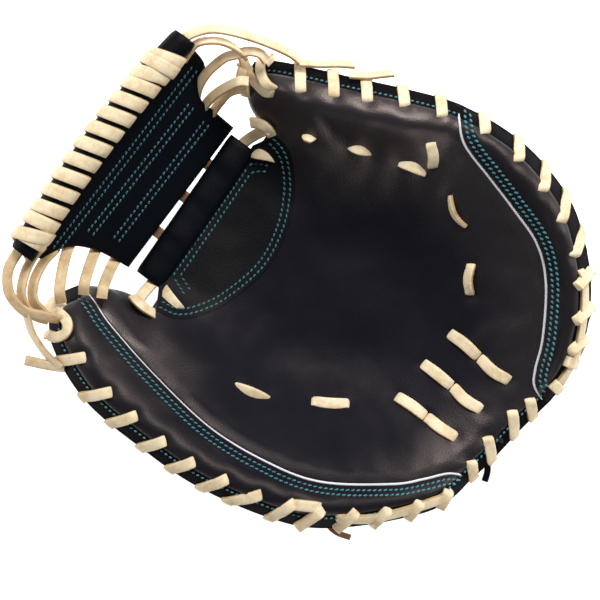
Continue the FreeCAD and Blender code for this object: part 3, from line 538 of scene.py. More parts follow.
# painted shade: lace colour darkened to tan for the laces from the web to the thumb, which lie in shade
LACE_TAN_PAINTED_SHADE = lace_leather("lace_tan_painted_shade", (0.66, 0.49, 0.29), (0.48, 0.33, 0.17), (0.33, 0.21, 0.10))
LACE_SHADE = lace_leather("lace_dark_side", (0.20, 0.13, 0.07), (0.12, 0.075, 0.04), (0.07, 0.045, 0.025))
TEAL = thread_material("teal_thread", (0.006, 0.075, 0.100), (0.036, 0.250, 0.305))
TEAL_DEEP = thread_material("deep_teal_thread", (0.003, 0.040, 0.056), (0.016, 0.140, 0.180))
PIPING = leather("white_piping", (0.62, 0.62, 0.66), (0.82, 0.82, 0.84), gloss=(0.32, 0.45), grain=0.35)
FELT = woven("wool_felt", (0.35, 0.33, 0.30), (0.62, 0.60, 0.55), 400.0, 0.95, 0.0005)
PAD_FELT = woven("dark_pad_felt", (0.0030, 0.0036, 0.0058), (0.0080, 0.0085, 0.0120), 400.0, 0.95, 0.0005)
FLEECE = woven("wrist_fleece", (0.010, 0.010, 0.013), (0.060, 0.058, 0.062), 320.0, 0.97, 0.0016)


# ---- mesh helpers ----
def new_object(name, vertices, faces, material, smooth_angle=50.0):
    """Mesh object from millimetre vertices."""
    mesh = bpy.data.meshes.new(name)
    mesh.from_pydata((np.asarray(vertices, float) * MM).tolist(), [], [list(f) for f in faces])
    mesh.validate()
    mesh.update()
    obj = bpy.data.objects.new(name, mesh)
    bpy.context.collection.objects.link(obj)
    mesh.materials.append(material)
    mesh.shade_smooth()
    mesh.set_sharp_from_angle(angle=math.radians(smooth_angle))
    return obj


def tube_faces(rings, sides, base=0):
    """Faces of a tube through equal rings of points, and its two ends."""
    faces = []
    for low in range(base, base + (rings - 1) * sides, sides):
        high = low + sides
        for k in range(sides):
            k2 = (k + 1) % sides
            faces.append((low + k, low + k2, high + k2, high + k))
    faces.append(tuple(range(base, base + sides))[::-1])
    faces.append(tuple(range(base + (rings - 1) * sides, base + rings * sides)))
    return faces


def hex_points(loop, spacing, margin):
    """Evenly staggered plan points inside a loop."""
    low, high = loop.min(0), loop.max(0)
    rows = np.arange(low[1], high[1] + spacing, spacing * 0.866)
    points = []
    for i, y in enumerate(rows):
        xs = np.arange(low[0] + (i % 2) * spacing / 2.0, high[0] + spacing, spacing)
        points.append(np.stack([xs, np.full_like(xs, y)], axis=1))
    points = np.vstack(points)
    points = points[inside(points, loop)]
    closed = np.vstack([loop, loop[:1]])
    return points[distance_to(points, closed) > margin]


def sheet_mesh(loop, spacing=2.4, rings=(0.35, 0.9, 1.7, 6.3, 6.9, 7.5)):
    """Triangles that fill a plan loop, with extra rings of points near its edge."""
    closed = np.vstack([loop, loop[:1]])
    area = 0.5 * np.sum(closed[:-1, 0] * closed[1:, 1] - closed[1:, 0] * closed[:-1, 1])
    inward = 1.0 if area > 0.0 else -1.0
    extra = []
    for ring in rings:
        moved = beside(closed, ring * inward)[:-1]
        keep = inside(moved, loop)
        moved = moved[keep]
        extra.append(moved[distance_to(moved, closed) > ring * 0.8])
    inner = hex_points(loop, spacing, 1.7 + spacing * 0.45)
    from_edge = distance_to(inner, closed)
    inner = inner[np.abs(from_edge - 6.9) > 0.6 + spacing * 0.4]
    points = np.vstack([loop] + extra + [inner])
    edges = [(i, (i + 1) % len(loop)) for i in range(len(loop))]
    found = delaunay_2d_cdt([Vector(p) for p in points], edges, [list(range(len(loop)))], 1, 1e-4)
    xy = np.array([tuple(v) for v in found[0]])
    return xy, [tuple(f) for f in found[2]]


def boundary_pairs(faces):
    """Directed edges that only one face uses."""
    seen = {pair: True for face in faces for pair in zip(face, face[1:] + face[:1])}
    return [(a, b) for a, b in seen if (b, a) not in seen]


def panel(name, loop, height, thickness, material, spacing=2.4, round_edge=1.3, flip=False,
          split=False):
    """Closed leather panel: a surface over a plan loop, given thickness and round edges.

    With split, the edge along the split line stays square and keeps the normals
    of the whole surface, so that the two halves look like one piece.
    """
    loop = np.asarray(loop, float)
    xy, faces = sheet_mesh(loop, spacing)
    area = sum((xy[b][0] - xy[a][0]) * (xy[c][1] - xy[a][1]) - (xy[c][0] - xy[a][0]) * (xy[b][1] - xy[a][1])
               for a, b, c in faces)
    if area < 0.0:
        faces = [f[::-1] for f in faces]
    closed = np.vstack([loop, loop[:1]])
    on_split = np.abs(xy[:, 0] - SPLIT_X) < 1e-3 if split else np.zeros(len(xy), bool)
    if split:
        first = int(np.argmax(np.abs(loop[:, 0] - SPLIT_X) > 1e-3))
        closed = np.roll(loop, -first, axis=0)
        closed = closed[np.abs(closed[:, 0] - SPLIT_X) > 1e-3]
    edge = distance_to(xy, closed)
    t = np.clip(1.0 - edge / round_edge, 0.0, 1.0)
    roundness = min(round_edge, thickness * 0.5) * (1.0 - np.sqrt(np.maximum(0.0, 1.0 - t ** 2)))
    surface = height(xy[:, 0], xy[:, 1])
    sign = -1.0 if flip else 1.0
    outer = np.column_stack([xy, surface - sign * roundness])
    inner = np.column_stack([xy, surface - sign * (thickness - roundness)])
    count = len(xy)
    if flip:
        outer, inner = inner, outer
    back = [tuple(i + count for i in f[::-1]) for f in faces]
    walls = [(a, a + count, b + count, b) for a, b in boundary_pairs(faces)]
    obj = new_object(name, np.vstack([outer, inner]), faces + back + walls, material)
    if split:
        keep_normals(obj, np.concatenate([on_split, on_split]), height)
    return obj


def keep_normals(obj, chosen, height):
    """Give the chosen vertices the normals of a height field, on faces that look up or down."""
    mesh = obj.data
    xy = np.array([v.co[:2] for v in mesh.vertices]) / MM
    n = surface_normals(height, xy[:, 0], xy[:, 1], 0.8)
    normals = []
    for polygon in mesh.polygons:
        level = abs(polygon.normal.z) > 0.3
        sign = 1.0 if polygon.normal.z > 0.0 else -1.0
        for vertex in polygon.vertices:
            normals.append(tuple(n[vertex] * sign) if level and chosen[vertex] else (0.0, 0.0, 0.0))
    mesh.normals_split_custom_set(normals)


def sweep(paths, sides, name, material, width=LACE_WIDTH, thickness=LACE_THICKNESS):
    """Flat laces with rounded edges, in one mesh; each side vector points across its lace."""
    half_t = thickness / 2.0
    top = [(0.5, 0.70), (0.45, 1.0), (0.22, 1.12), (0.0, 1.15), (-0.22, 1.12), (-0.45, 1.0), (-0.5, 0.70)]
    low = [(-0.5, -0.70), (-0.45, -1.0), (0.0, -1.02), (0.45, -1.0), (0.5, -0.70)]
    profile = np.array([(a * width, b * half_t) for a, b in top + low])
    count = len(profile)
    vertices, faces, edge_faces = [], [], []
    for path, side in zip(paths, sides):
        path, side = np.asarray(path, float), np.asarray(side, float)
        along = np.gradient(path, axis=0)
        along /= np.maximum(1e-9, np.linalg.norm(along, axis=1))[:, None]
        wide = np.linalg.norm(side, axis=1)[:, None]
        side = side / np.maximum(1e-9, wide)
        square = side - (side * along).sum(1)[:, None] * along
        shear = np.minimum(1.6, 1.0 / np.maximum(0.3, np.linalg.norm(square, axis=1)))[:, None]
        up = np.cross(side, along)
        up /= np.maximum(1e-9, np.linalg.norm(up, axis=1))[:, None]
        side = side * shear * wide
        base = len(vertices)
        for p, q, u in zip(path, side, up):
            vertices.extend(p + q * a + u * b for a, b in profile)
        edge_faces.extend(len(faces) + i * count + k for i in range(len(path) - 1) for k in range(count)
                          if k >= len(top) - 1 or k == 0)
        faces.extend(tube_faces(len(path), count, base))
    obj = new_object(name, vertices, faces, material)
    # the sides and underside take the darker edge colour: cut edges and flesh side, partly painted shade
    obj.data.materials.append(LACE_CUT_EDGE_AND_SHADE)
    for i in edge_faces:
        obj.data.polygons[i].material_index = 1
    return obj


def round_cord(name, path, radius, material, sides=10):
    """Round cord along a path, narrower at its two end rings."""
    path = np.asarray(path, float)
    along = np.gradient(path, axis=0)
    along /= np.linalg.norm(along, axis=1)[:, None]
    up = np.array([0.0, 0.0, 1.0])
    side = np.cross(along, up)
    side /= np.maximum(1e-9, np.linalg.norm(side, axis=1))[:, None]
    lift = np.cross(side, along)
    radii = np.full(len(path), radius)
    radii[[0, -1]] *= 0.55
    vertices = []
    for p, s, u, r in zip(path, side, lift, radii):
        for k in range(sides):
            angle = 2.0 * math.pi * k / sides
            vertices.append(p + (s * math.cos(angle) + u * math.sin(angle)) * r)
    return new_object(name, vertices, tube_faces(len(path), sides), material, 70.0)


def stitch_row(line, height, length=2.25, pitch=2.75, width=1.0, lift=0.18, slant=0.28):
    """Vertices and faces of separate stitches along a plan line."""
    line = curve(line, pitch)
    vertices, faces = [], []
    middle = (line[:-1] + line[1:]) / 2.0
    along = line[1:] - line[:-1]
    along /= np.linalg.norm(along, axis=1)[:, None]
    across = np.stack([-along[:, 1], along[:, 0]], axis=1)
    leaning = along + across * slant
    leaning /= np.linalg.norm(leaning, axis=1)[:, None]
    stations = [(-1.0, 0.15, -0.55), (-0.72, 0.80, -0.02), (0.0, 1.0, 0.22), (0.72, 0.80, -0.02),
                (1.0, 0.15, -0.55)]
    x0, y0 = middle[:, 0], middle[:, 1]
    grid = []
    for s, _, _ in stations:
        grid.append(height(x0 + leaning[:, 0] * s * length / 2.0, y0 + leaning[:, 1] * s * length / 2.0))
    for i in range(len(middle)):
        base = len(vertices)
        side = np.array([-leaning[i, 1], leaning[i, 0]])
        for j, (s, fat, up) in enumerate(stations):
            cx = middle[i, 0] + leaning[i, 0] * s * length / 2.0
            cy = middle[i, 1] + leaning[i, 1] * s * length / 2.0
            cz = grid[j][i] + lift + up
            for k in range(STITCH_SIDES):
                angle = 2.0 * math.pi * k / STITCH_SIDES
                a = math.cos(angle) * fat * width / 2.0
                b = math.sin(angle) * fat * width / 2.0
                vertices.append((cx + side[0] * a, cy + side[1] * a, cz + b))
        faces.extend(face[::-1] for face in tube_faces(len(stations), STITCH_SIDES, base))
    return vertices, faces


def stitches(name, rows, height, thread=TEAL, **options):
    """Rows of stitches as one object."""
    vertices, faces = [], []
    for row in rows:
        more_vertices, more_faces = stitch_row(row, height, **options)
        faces.extend(tuple(i + len(vertices) for i in f) for f in more_faces)
        vertices.extend(more_vertices)
    return new_object(name, vertices, faces, thread, 60.0)


def bend_thumb(obj, *nodes):
    """Bake a piece's placement into its mesh and hide the CAD parts that it replaces."""
    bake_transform(obj)
    if nodes:
        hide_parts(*nodes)
    return obj


def bend_finger(obj, *nodes):
    """Bake a piece's placement into its mesh and hide the CAD parts that it replaces."""
    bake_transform(obj)
    if nodes:
        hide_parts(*nodes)
    return obj


def ride_palm(obj, *nodes):
    """Keep a piece with the middle of the mitt."""
    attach(obj, "palm")
    if nodes:
        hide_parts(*nodes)
    return obj


# ---- palm, rolls and back ----
def cut_at_split(line, keep_left):
    """Part of a plan curve on one side of the split, ending exactly on it."""
    line = np.asarray(line, float)
    side = line[:, 0] < SPLIT_X if keep_left else line[:, 0] > SPLIT_X
    kept = []
    for i, p in enumerate(line):
        if i > 0 and side[i] != side[i - 1]:
            q = line[i - 1]
            t = (SPLIT_X - q[0]) / (p[0] - q[0])
            kept.append(q + (p - q) * t)
        if side[i]:
            kept.append(p)
    return np.array(kept)


def polygon(corners):
    """Closed loop of straight runs between corners."""
    return joined(*[curve([a, b]) for a, b in zip(corners, corners[1:] + corners[:1])])


def joined(*lines):
    """Closed loop from curves placed end to end, without doubled points."""
    points = np.vstack(lines)
    keep = [0]
    for i in range(1, len(points)):
        if np.linalg.norm(points[i] - points[keep[-1]]) > 0.6:
            keep.append(i)
    if np.linalg.norm(points[keep[-1]] - points[keep[0]]) < 0.6:
        keep.pop()
    return points[keep]


left_crotch = cut_at_split(crotch, True)
right_crotch = cut_at_split(crotch, False)
left_heel = cut_at_split(heel, True)
right_heel = cut_at_split(heel, False)
left_split = curve([left_heel[0], left_crotch[-1]])
right_split = curve([right_crotch[0], right_heel[-1]])

palm_left_loop = joined(left_crotch[::-1], thumb_inside[::-1], thumb_seam, left_heel[::-1], left_split)
palm_right_loop = joined(right_heel[::-1], finger_seam[::-1], finger_upper[::-1], finger_inside[::-1],
                         right_crotch[::-1], right_split)
opening_left, opening_top, opening_right = (-44.0, OPENING_Y), (SPLIT_X, OPENING_Y), (38.0, OPENING_Y)
back_left_loop = joined(left_crotch[::-1], thumb_inside[::-1], thumb_tip[::-1], thumb_rim[::-1],
                        curve([(-31.0, -113.5), (-41.0, -90.0), opening_left]),
                        curve([opening_left, opening_top]), curve([opening_top, left_crotch[-1]]))
back_right_loop = joined(curve([right_crotch[0], opening_top]), curve([opening_top, opening_right]),
                         curve([opening_right, (34.0, -90.0), (26.5, -121.5)]), finger_lower[::-1],
                         finger_upper[::-1], finger_inside[::-1], right_crotch[::-1])


def skin(name, loop, height, thickness, material, flip=False):
    """Panel whose edge along the split keeps the surface's own normals and is not rounded."""
    return panel(name, loop, height, thickness, material, flip=flip, split=True)


def back_surface(x, y):
    """Outside of the back, with padded finger ridges."""
    x, y = np.atleast_1d(np.asarray(x, float)), np.atleast_1d(np.asarray(y, float))
    z = back_height(x, y)
    xy = np.stack([x, y], axis=1)
    for start, end in (((58.0, 60.0), (72.0, 88.0)), ((66.0, 22.0), (98.0, 42.0)),
                       ((66.0, -8.0), (108.0, -4.0)),
                       ((60.0, -36.0), (100.0, -54.0)), ((-70.0, -20.0), (-92.0, 70.0))):
        d = distance_to(xy, np.array([start, end]))
        z = z - 3.2 * np.exp(-(d / 9.0) ** 2)
    z = z + 0.7 * soft_noise(x, y, 40.0, 5.5)
    return np.maximum(z, 0.0)


palm_left = skin("palm_leather_left_half", palm_left_loop, palm_height, LEATHER, NAVY)
palm_right = skin("palm_leather_right_half", palm_right_loop, palm_height, LEATHER, NAVY)
# the rolls take the darker roll leather, which is painted shade
thumb_roll = skin("thumb_roll", joined(THUMB_ROLL_LOOP), palm_height, LEATHER, NAVY_ROLL_PAINTED_SHADE)
finger_roll = skin("finger_roll", joined(FINGER_ROLL_LOOP), palm_height, LEATHER, NAVY_ROLL_PAINTED_SHADE)
back_left = skin("back_leather_left_half", back_left_loop, back_surface, BACK_THICKNESS, NAVY_BACK,
                 flip=True)
back_right = skin("back_leather_right_half", back_right_loop, back_surface, BACK_THICKNESS, NAVY_BACK,
                  flip=True)


def cloth_movement(obj, pressure, quality, stiffness, bending, **more):
    """How far pressure moves each vertex of an object that is simulated as cloth."""
    modifier = obj.modifiers.new("cloth", "CLOTH")
    settings = modifier.settings
    settings.quality = quality
    settings.tension_stiffness = stiffness
    settings.compression_stiffness = stiffness
    settings.bending_stiffness = bending
    settings.use_pressure = True
    settings.uniform_pressure_force = pressure
    settings.effector_weights.gravity = 0.0
    for setting, value in more.items():
        setattr(settings, setting, value)
    modifier.collision_settings.use_collision = False
    modifier.collision_settings.use_self_collision = False
    start = np.array([v.co[:] for v in obj.data.vertices])
    for frame_number in range(1, CLOTH_FRAMES + 1):
        bpy.context.scene.frame_set(frame_number)
    settled = obj.evaluated_get(bpy.context.evaluated_depsgraph_get())
    moved = np.array([v.co[:] for v in settled.to_mesh().vertices]) - start
    settled.to_mesh_clear()
    bpy.context.scene.frame_set(1)
    return moved


def limited(moved, cap):
    """The same movements, with none longer than cap."""
    length = np.linalg.norm(moved, axis=1)
    return moved * (cap * np.tanh(length / cap) / np.maximum(1e-12, length))[:, None]


def settle(obj, held, pressure, cap):
    """Let the padding push out a panel's leather between the points that hold it.

    The outer face is simulated as cloth.  Its movement is evened out, capped and
    then given to both faces of the panel.
    """
    mesh = obj.data
    count = len(mesh.vertices) // 2
    start = np.array([v.co[:] for v in mesh.vertices])
    top = [tuple(p.vertices) for p in mesh.polygons if max(p.vertices) < count]
    sheet = bpy.data.meshes.new("cloth_sheet")
    sheet.from_pydata(start[:count].tolist(), [], top)
    cloth = bpy.data.objects.new("cloth_sheet", sheet)
    bpy.context.collection.objects.link(cloth)
    group = cloth.vertex_groups.new(name="held")
    for i, weight in enumerate(held):
        group.add([i], float(weight), "REPLACE")
    moved = cloth_movement(cloth, pressure, 6, 22.0, 3.0, mass=0.3, shear_stiffness=8.0,
                           shrink_min=-0.004,
                           vertex_group_mass="held", pin_stiffness=1.0)
    bpy.data.objects.remove(cloth)
    bpy.data.meshes.remove(sheet)
    edges = np.array([e.vertices[:] for e in mesh.edges])
    edges = edges[(edges < count).all(axis=1)]
    shared = np.bincount(edges.ravel(), minlength=count)[:, None]
    for _ in range(3):
        around = np.zeros_like(moved)
        np.add.at(around, edges[:, 0], moved[edges[:, 1]])
        np.add.at(around, edges[:, 1], moved[edges[:, 0]])
        moved = (0.4 * moved + 0.6 * around / np.maximum(1, shared)) * (1.0 - np.asarray(held)[:,
                                                                                               None] ** 4)
    moved = limited(moved, cap)
    mesh.vertices.foreach_set("co", (start + np.vstack([moved, moved])).ravel())
    mesh.update()


def held_by(obj, lines, holes, split=False):
    """How firmly each vertex of a panel's outer face is held: 1 at seams, rim and lace holes."""
    count = len(obj.data.vertices) // 2
    xy = np.array([v.co[:2] for v in obj.data.vertices[:count]]) / MM
    held = np.zeros(count)
    for line in lines:
        held = np.maximum(held, 1.0 - smooth((distance_to(xy, line) - 0.5) / SEAM_HOLD_REACH))
    for hole_x, hole_y in holes:
        from_hole = np.hypot(xy[:, 0] - hole_x, xy[:, 1] - hole_y)
        held = np.maximum(held, 1.0 - smooth((from_hole - 2.5) / 2.5))
    if split:
        held = np.maximum(held, 1.0 - smooth((np.abs(xy[:, 0] - SPLIT_X) - 2.0) / 30.0))
    return held


PANELS = [(thumb_roll, False, ROLL_PRESSURE, ROLL_CAP), (finger_roll, False, ROLL_PRESSURE, ROLL_CAP),
          (palm_left, True, PALM_PRESSURE, PALM_CAP), (palm_right, True, PALM_PRESSURE, PALM_CAP)]
HELD_LINES = [RIM_LINE, OUTER_RIM, STRIP_LINE, thumb_seam, finger_seam, crotch]
for leather_panel, is_split, pressure, cap in PANELS:
    settle(leather_panel, held_by(leather_panel, HELD_LINES, TIE_HOLES, is_split), pressure, cap)

surfaces = []
for leather_panel, *_ in PANELS:
    mesh = leather_panel.data
    mesh.calc_loop_triangles()
    surfaces.append(BVHTree.FromPolygons([v.co[:] for v in mesh.vertices],
                                         [tuple(t.vertices) for t in mesh.loop_triangles]))


def built_heights():
    """Height of the finished palm on a one-millimetre grid, 0 outside it."""
    heights = np.zeros((GRID_COUNT, GRID_COUNT))
    for i in range(GRID_COUNT):
        for j in range(GRID_COUNT):
            x, y = (GRID_LOW + i) * MM, (GRID_LOW + j) * MM
            for tree in surfaces:
                hit = tree.ray_cast(Vector((x, y, 0.2)), Vector((0.0, 0.0, -1.0)))[0]
                if hit is not None:
                    heights[i, j] = max(heights[i, j], hit.z / MM)
    return heights


HEIGHTS = built_heights()


def finished_height(x, y):
    """Height of the palm after settling; the plain height field where that is not known."""
    x, y = np.atleast_1d(np.asarray(x, float)), np.atleast_1d(np.asarray(y, float))
    u, v = np.clip(x - GRID_LOW, 0.0, GRID_COUNT - 1.001), np.clip(y - GRID_LOW, 0.0, GRID_COUNT - 1.001)
    i, j = u.astype(int), v.astype(int)
    a, b = u - i, v - j
    corners = np.stack([HEIGHTS[i, j], HEIGHTS[i + 1, j], HEIGHTS[i, j + 1], HEIGHTS[i + 1, j + 1]])
    found = (corners.min(axis=0) > 0.0) & (corners.max(axis=0) - corners.min(axis=0) < 3.0)
    z = (corners[0] * (1 - a) * (1 - b) + corners[1] * a * (1 - b)
         + corners[2] * (1 - a) * b + corners[3] * a * b)
    if not found.all():
        z[~found] = palm_height(x[~found], y[~found])
    return z


bend_thumb(palm_left, "palm_leather_thumb", "palm_leather_center")
bend_finger(palm_right, "palm_leather_finger")
bend_thumb(thumb_roll, "thumb_roll_panel")
bend_finger(finger_roll, "finger_roll_panel")
bend_thumb(back_left, "back_panel_thumb", "back_panel_center")
bend_finger(back_right, "back_panel_finger")


# ---- padding ----
def with_modifiers(obj):
    """Replace an object's mesh by what its modifiers make of it."""
    mesh = bpy.data.meshes.new_from_object(obj.evaluated_get(bpy.context.evaluated_depsgraph_get()))
    obj.modifiers.clear()
    obj.data = mesh
    return mesh


def padding(node, body):
    """Felt pad made from the part's own solid: remeshed, puffed up as cloth and smoothed."""
    source = frame["nodes"][node]
    corners = [np.array(source.matrix_world @ v.co) / MM for v in source.data.vertices]
    faces = [tuple(p.vertices) for p in source.data.polygons]
    obj = new_object(node + "_felt", corners, faces, PAD_FELT, 80.0)
    remesh = obj.modifiers.new("remesh", "REMESH")
    remesh.mode = "VOXEL"
    remesh.voxel_size = PAD_CELL
    cells = with_modifiers(obj)
    outward = np.array([n.vector[:] for n in cells.vertex_normals])
    start = np.array([v.co[:] for v in cells.vertices]) - PAD_DRAWN_IN * outward
    cells.vertices.foreach_set("co", start.ravel())
    cells.update()
    moved = limited(cloth_movement(obj, PAD_PRESSURE, 5, 15.0, 2.0), PAD_CAP)
    obj.modifiers.clear()
    cells.vertices.foreach_set("co", (start + moved).ravel())
    cells.update()
    soften = obj.modifiers.new("soften", "SMOOTH")
    soften.factor = 0.5
    soften.iterations = 4
    finer = obj.modifiers.new("finer", "SUBSURF")
    finer.levels = 1
    finer.render_levels = 1
    with_modifiers(obj).shade_smooth()
    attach(obj, body)
    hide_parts(node)


for node, body in (("palm_pad", "palm"), ("thumb_pad", "thumb_side"), ("finger_pad", "finger_side")):
    padding(node, body)


# ---- piping and seam stitches ----
def on_palm(line, lift):
    """Plan curve lifted onto the palm."""
    line = np.asarray(line, float)
    height = finished_height(line[:, 0], line[:, 1])
    for _ in range(8):
        height[1:-1] = 0.5 * height[1:-1] + 0.25 * (height[:-2] + height[2:])
    return np.column_stack([line, height + lift])


thumb_path = on_palm(curve(THUMB_SEAM, 1.2)[1:-1], PIPING_LIFT)
thumb_radii = 0.36 + 0.34 * smooth(np.linspace(-0.6, 1.6, len(thumb_path)))
bend_thumb(round_cord("thumb_seam_piping", thumb_path, thumb_radii, PIPING), "thumb_piping")
finger_path = on_palm(curve(FINGER_SEAM, 1.2)[1:-1], PIPING_LIFT)
bend_finger(round_cord("finger_seam_piping", finger_path, 0.68, PIPING), "finger_piping")
thumb_rows = [beside(thumb_seam, -2.7)[1:-2], beside(thumb_seam, -5.1)[2:-3]]
finger_rows = [beside(finger_seam, 3.0)[1:-2], beside(finger_seam, 5.6)[2:-3]]
bend_thumb(stitches("thumb_seam_stitches", thumb_rows, finished_height), "thumb_seam_thread")
bend_finger(stitches("finger_seam_stitches", finger_rows, finished_height, width=1.25, slant=0.6),
            "finger_seam_thread")


# ---- rim strip ----
def strip_height(x, y):
    """Top of the strip along the rim."""
    return palm_height(x, y) + STRIP_LIFT


def rim_strip(name, line):
    """Turned-up edge of the back leather that shows outside the palm panels."""
    loop = joined(beside(line, 0.5), beside(line, 0.6 - STRIP_WIDTH)[::-1])
    # the strip is darker than the back leather it belongs to: painted shade of the trench between the rim
    # loops
    return panel(name, loop, strip_height, 1.5, BINDING_DARKENED_FOR_TRENCH_SHADE, spacing=2.0)


def strip_stitches(name, *lines):
    """Stitches along the inner edge of the strip."""
    rows = [beside(line, STRIP_STITCH_INSET - STRIP_WIDTH) for line in lines]
    return stitches(name, rows, strip_height, length=1.8)


bend_thumb(rim_strip("rim_strip_left", joined(left_heel, thumb_rim, thumb_tip)))
bend_finger(rim_strip("rim_strip_right", joined(finger_inside[-5:], finger_upper, finger_lower,
                                                right_heel)))
bend_finger(strip_stitches("rim_stitches_right", finger_upper, right_heel))
bend_thumb(strip_stitches("rim_stitches_left", thumb_rim, left_heel))


# ---- crotch patch ----
def patch_height(x, y):
    """Top of the patch sewn on the palm below the web."""
    return finished_height(x, y) + PATCH_LIFT


patch_arc = beside(crotch_seam, -1.4)
patch_loop = joined(patch_arc, curve([patch_arc[-1], (40.0, 79.5)]), curve([(40.0, 79.5), (-46.5, 75.0)]),
                    curve([(-46.5, 75.0), patch_arc[0]]))
patch = panel("crotch_patch_leather", patch_loop, patch_height, 1.2, NAVY_PATCH,
              round_edge=0.6)
ride_palm(patch, "crotch_patch")
crotch_rows = [beside(crotch_seam, 1.2), beside(crotch_seam, 4.2),
               curve([(36.5, 66.5), (33.5, 73.0), (30.5, 75.0)]),
               curve([(33.5, 65.5), (30.5, 70.0), (27.5, 72.0)]),
               curve([(28.5, 74.8), (-39.0, 72.0)]), curve([(27.0, 71.8), (-37.0, 69.0)]),
               curve([(-39.5, 70.5), (-43.0, 61.5)]), curve([(-36.5, 68.0), (-39.5, 60.0)])]
ride_palm(stitches("crotch_stitches", crotch_rows, patch_height, TEAL_DEEP), "crotch_patch_thread")


# ---- padded roll at the crotch ----
def loft(name, sections, material, smooth_angle=60.0):
    """Closed solid through rings of points, with flat ends."""
    faces = tube_faces(len(sections), len(sections[0]))
    return new_object(name, np.vstack(sections), faces, material, smooth_angle)


def rounded_ring(half_y, half_z, power=2.6, count=40):
    """Ring of (y, z) offsets on a squarish oval."""
    angle = np.linspace(0.0, 2.0 * math.pi, count, endpoint=False)
    cy, cz = np.cos(angle), np.sin(angle)
    return np.column_stack([np.sign(cy) * np.abs(cy) ** (2.0 / power) * half_y,
                            np.sign(cz) * np.abs(cz) ** (2.0 / power) * half_z])


roll_sections = []
for x in np.linspace(ROLL_LEFT, ROLL_RIGHT, 60):
    t = (x - ROLL_LEFT) / (ROLL_RIGHT - ROLL_LEFT)
    centre_y = 80.8 + 3.6 * t
    end = min(1.0, min(t, 1.0 - t) / 0.03)
    puff = 1.0 + 0.04 * math.sin(t * 9.0) + 0.05 * math.sin(t * 23.0 + 1.0)
    for dip in BRIDGE_X:
        puff -= 0.10 * math.exp(-((x - dip) / 4.0) ** 2)
    ring = rounded_ring(8.0 * (0.95 + 0.05 * end), 5.2 * puff * (0.88 + 0.12 * end))
    roll_sections.append(np.column_stack([np.full(len(ring), x), centre_y + ring[:, 0],
                                          53.0 + ring[:, 1]]))
crotch_roll = loft("crotch_roll_leather", roll_sections, NAVY_WEB)
ride_palm(crotch_roll, "crotch_roll")


# ---- laces ----
RIM_LOOP_POLYGON = np.vstack([RIM_LINE, crotch[::-1]])


def rim_crossing(start, direction, farthest=40.0):
    """Where a ray from a hole leaves the plan outline of the mitt."""
    steps = np.arange(0.0, farthest, 0.25)
    ray = np.array(start) + np.outer(steps, direction)
    outside = ~inside(ray, RIM_LOOP_POLYGON)
    return ray[max(1, int(np.argmax(outside)))] if outside.any() else ray[-1]


def palm_at(point):
    """Height of the finished palm at one plan point."""
    return float(finished_height(point[:1], point[1:])[0])


def back_at(point):
    """Height of the outside of the back at one plan point."""
    return float(back_surface(point[:1], point[1:])[0])


def unit(v):
    """Vector of length one."""
    v = np.asarray(v, float)
    return v / max(1e-9, np.linalg.norm(v))


def lace_row(point, side, wide=1.0):
    """Where a lace passes, and the direction across it there."""
    return np.concatenate([np.asarray(point, float), unit(side) * wide])


def lace_curve(rows, step=1.1):
    """Smooth path and side vectors from rows."""
    fine = curve(np.array(rows), step)
    return fine[:, :3], fine[:, 3:]


def over_palm(xy, direction, lift, wide=1.0, side=None, tilt=0.0, normal=None):
    """Row for a lace lying on the palm at a plan point."""
    n = palm_normal(xy) if normal is None else normal
    d = np.array([direction[0], direction[1], 0.0])
    across = np.cross(d, n) if side is None else side
    across = unit(across) * math.cos(tilt) + n * math.sin(tilt)
    return lace_row(np.array([xy[0], xy[1], palm_at(xy)]) + n * lift, across, wide)


def out_of_hole(hole, direction, depth=HOLE_DEPTH, wide=0.82, normal=None):
    """Rows that bring a lace up out of a hole, heading along direction."""
    d = unit(direction)
    return [over_palm(hole + d * 0.2, d, -depth, wide, normal=normal),
            over_palm(hole + d * 0.5, d, 0.1, wide * 1.1, normal=normal)]


def into_hole(hole, direction):
    """Rows that take a lace that heads along direction down into a hole."""
    rows = out_of_hole(hole, -direction)[::-1]
    for row in rows:
        row[3:] = -row[3:]
    return rows


def rim_direction(point):
    """Direction of the mitt's outline nearest to a plan point."""
    middle = (RIM_LOOP_POLYGON + np.roll(RIM_LOOP_POLYGON, -1, axis=0)) / 2.0
    i = int(np.argmin(np.linalg.norm(middle - point, axis=1)))
    ahead = RIM_LOOP_POLYGON[(i + 2) % len(RIM_LOOP_POLYGON)]
    behind = RIM_LOOP_POLYGON[i - 1]
    return unit(ahead - behind)


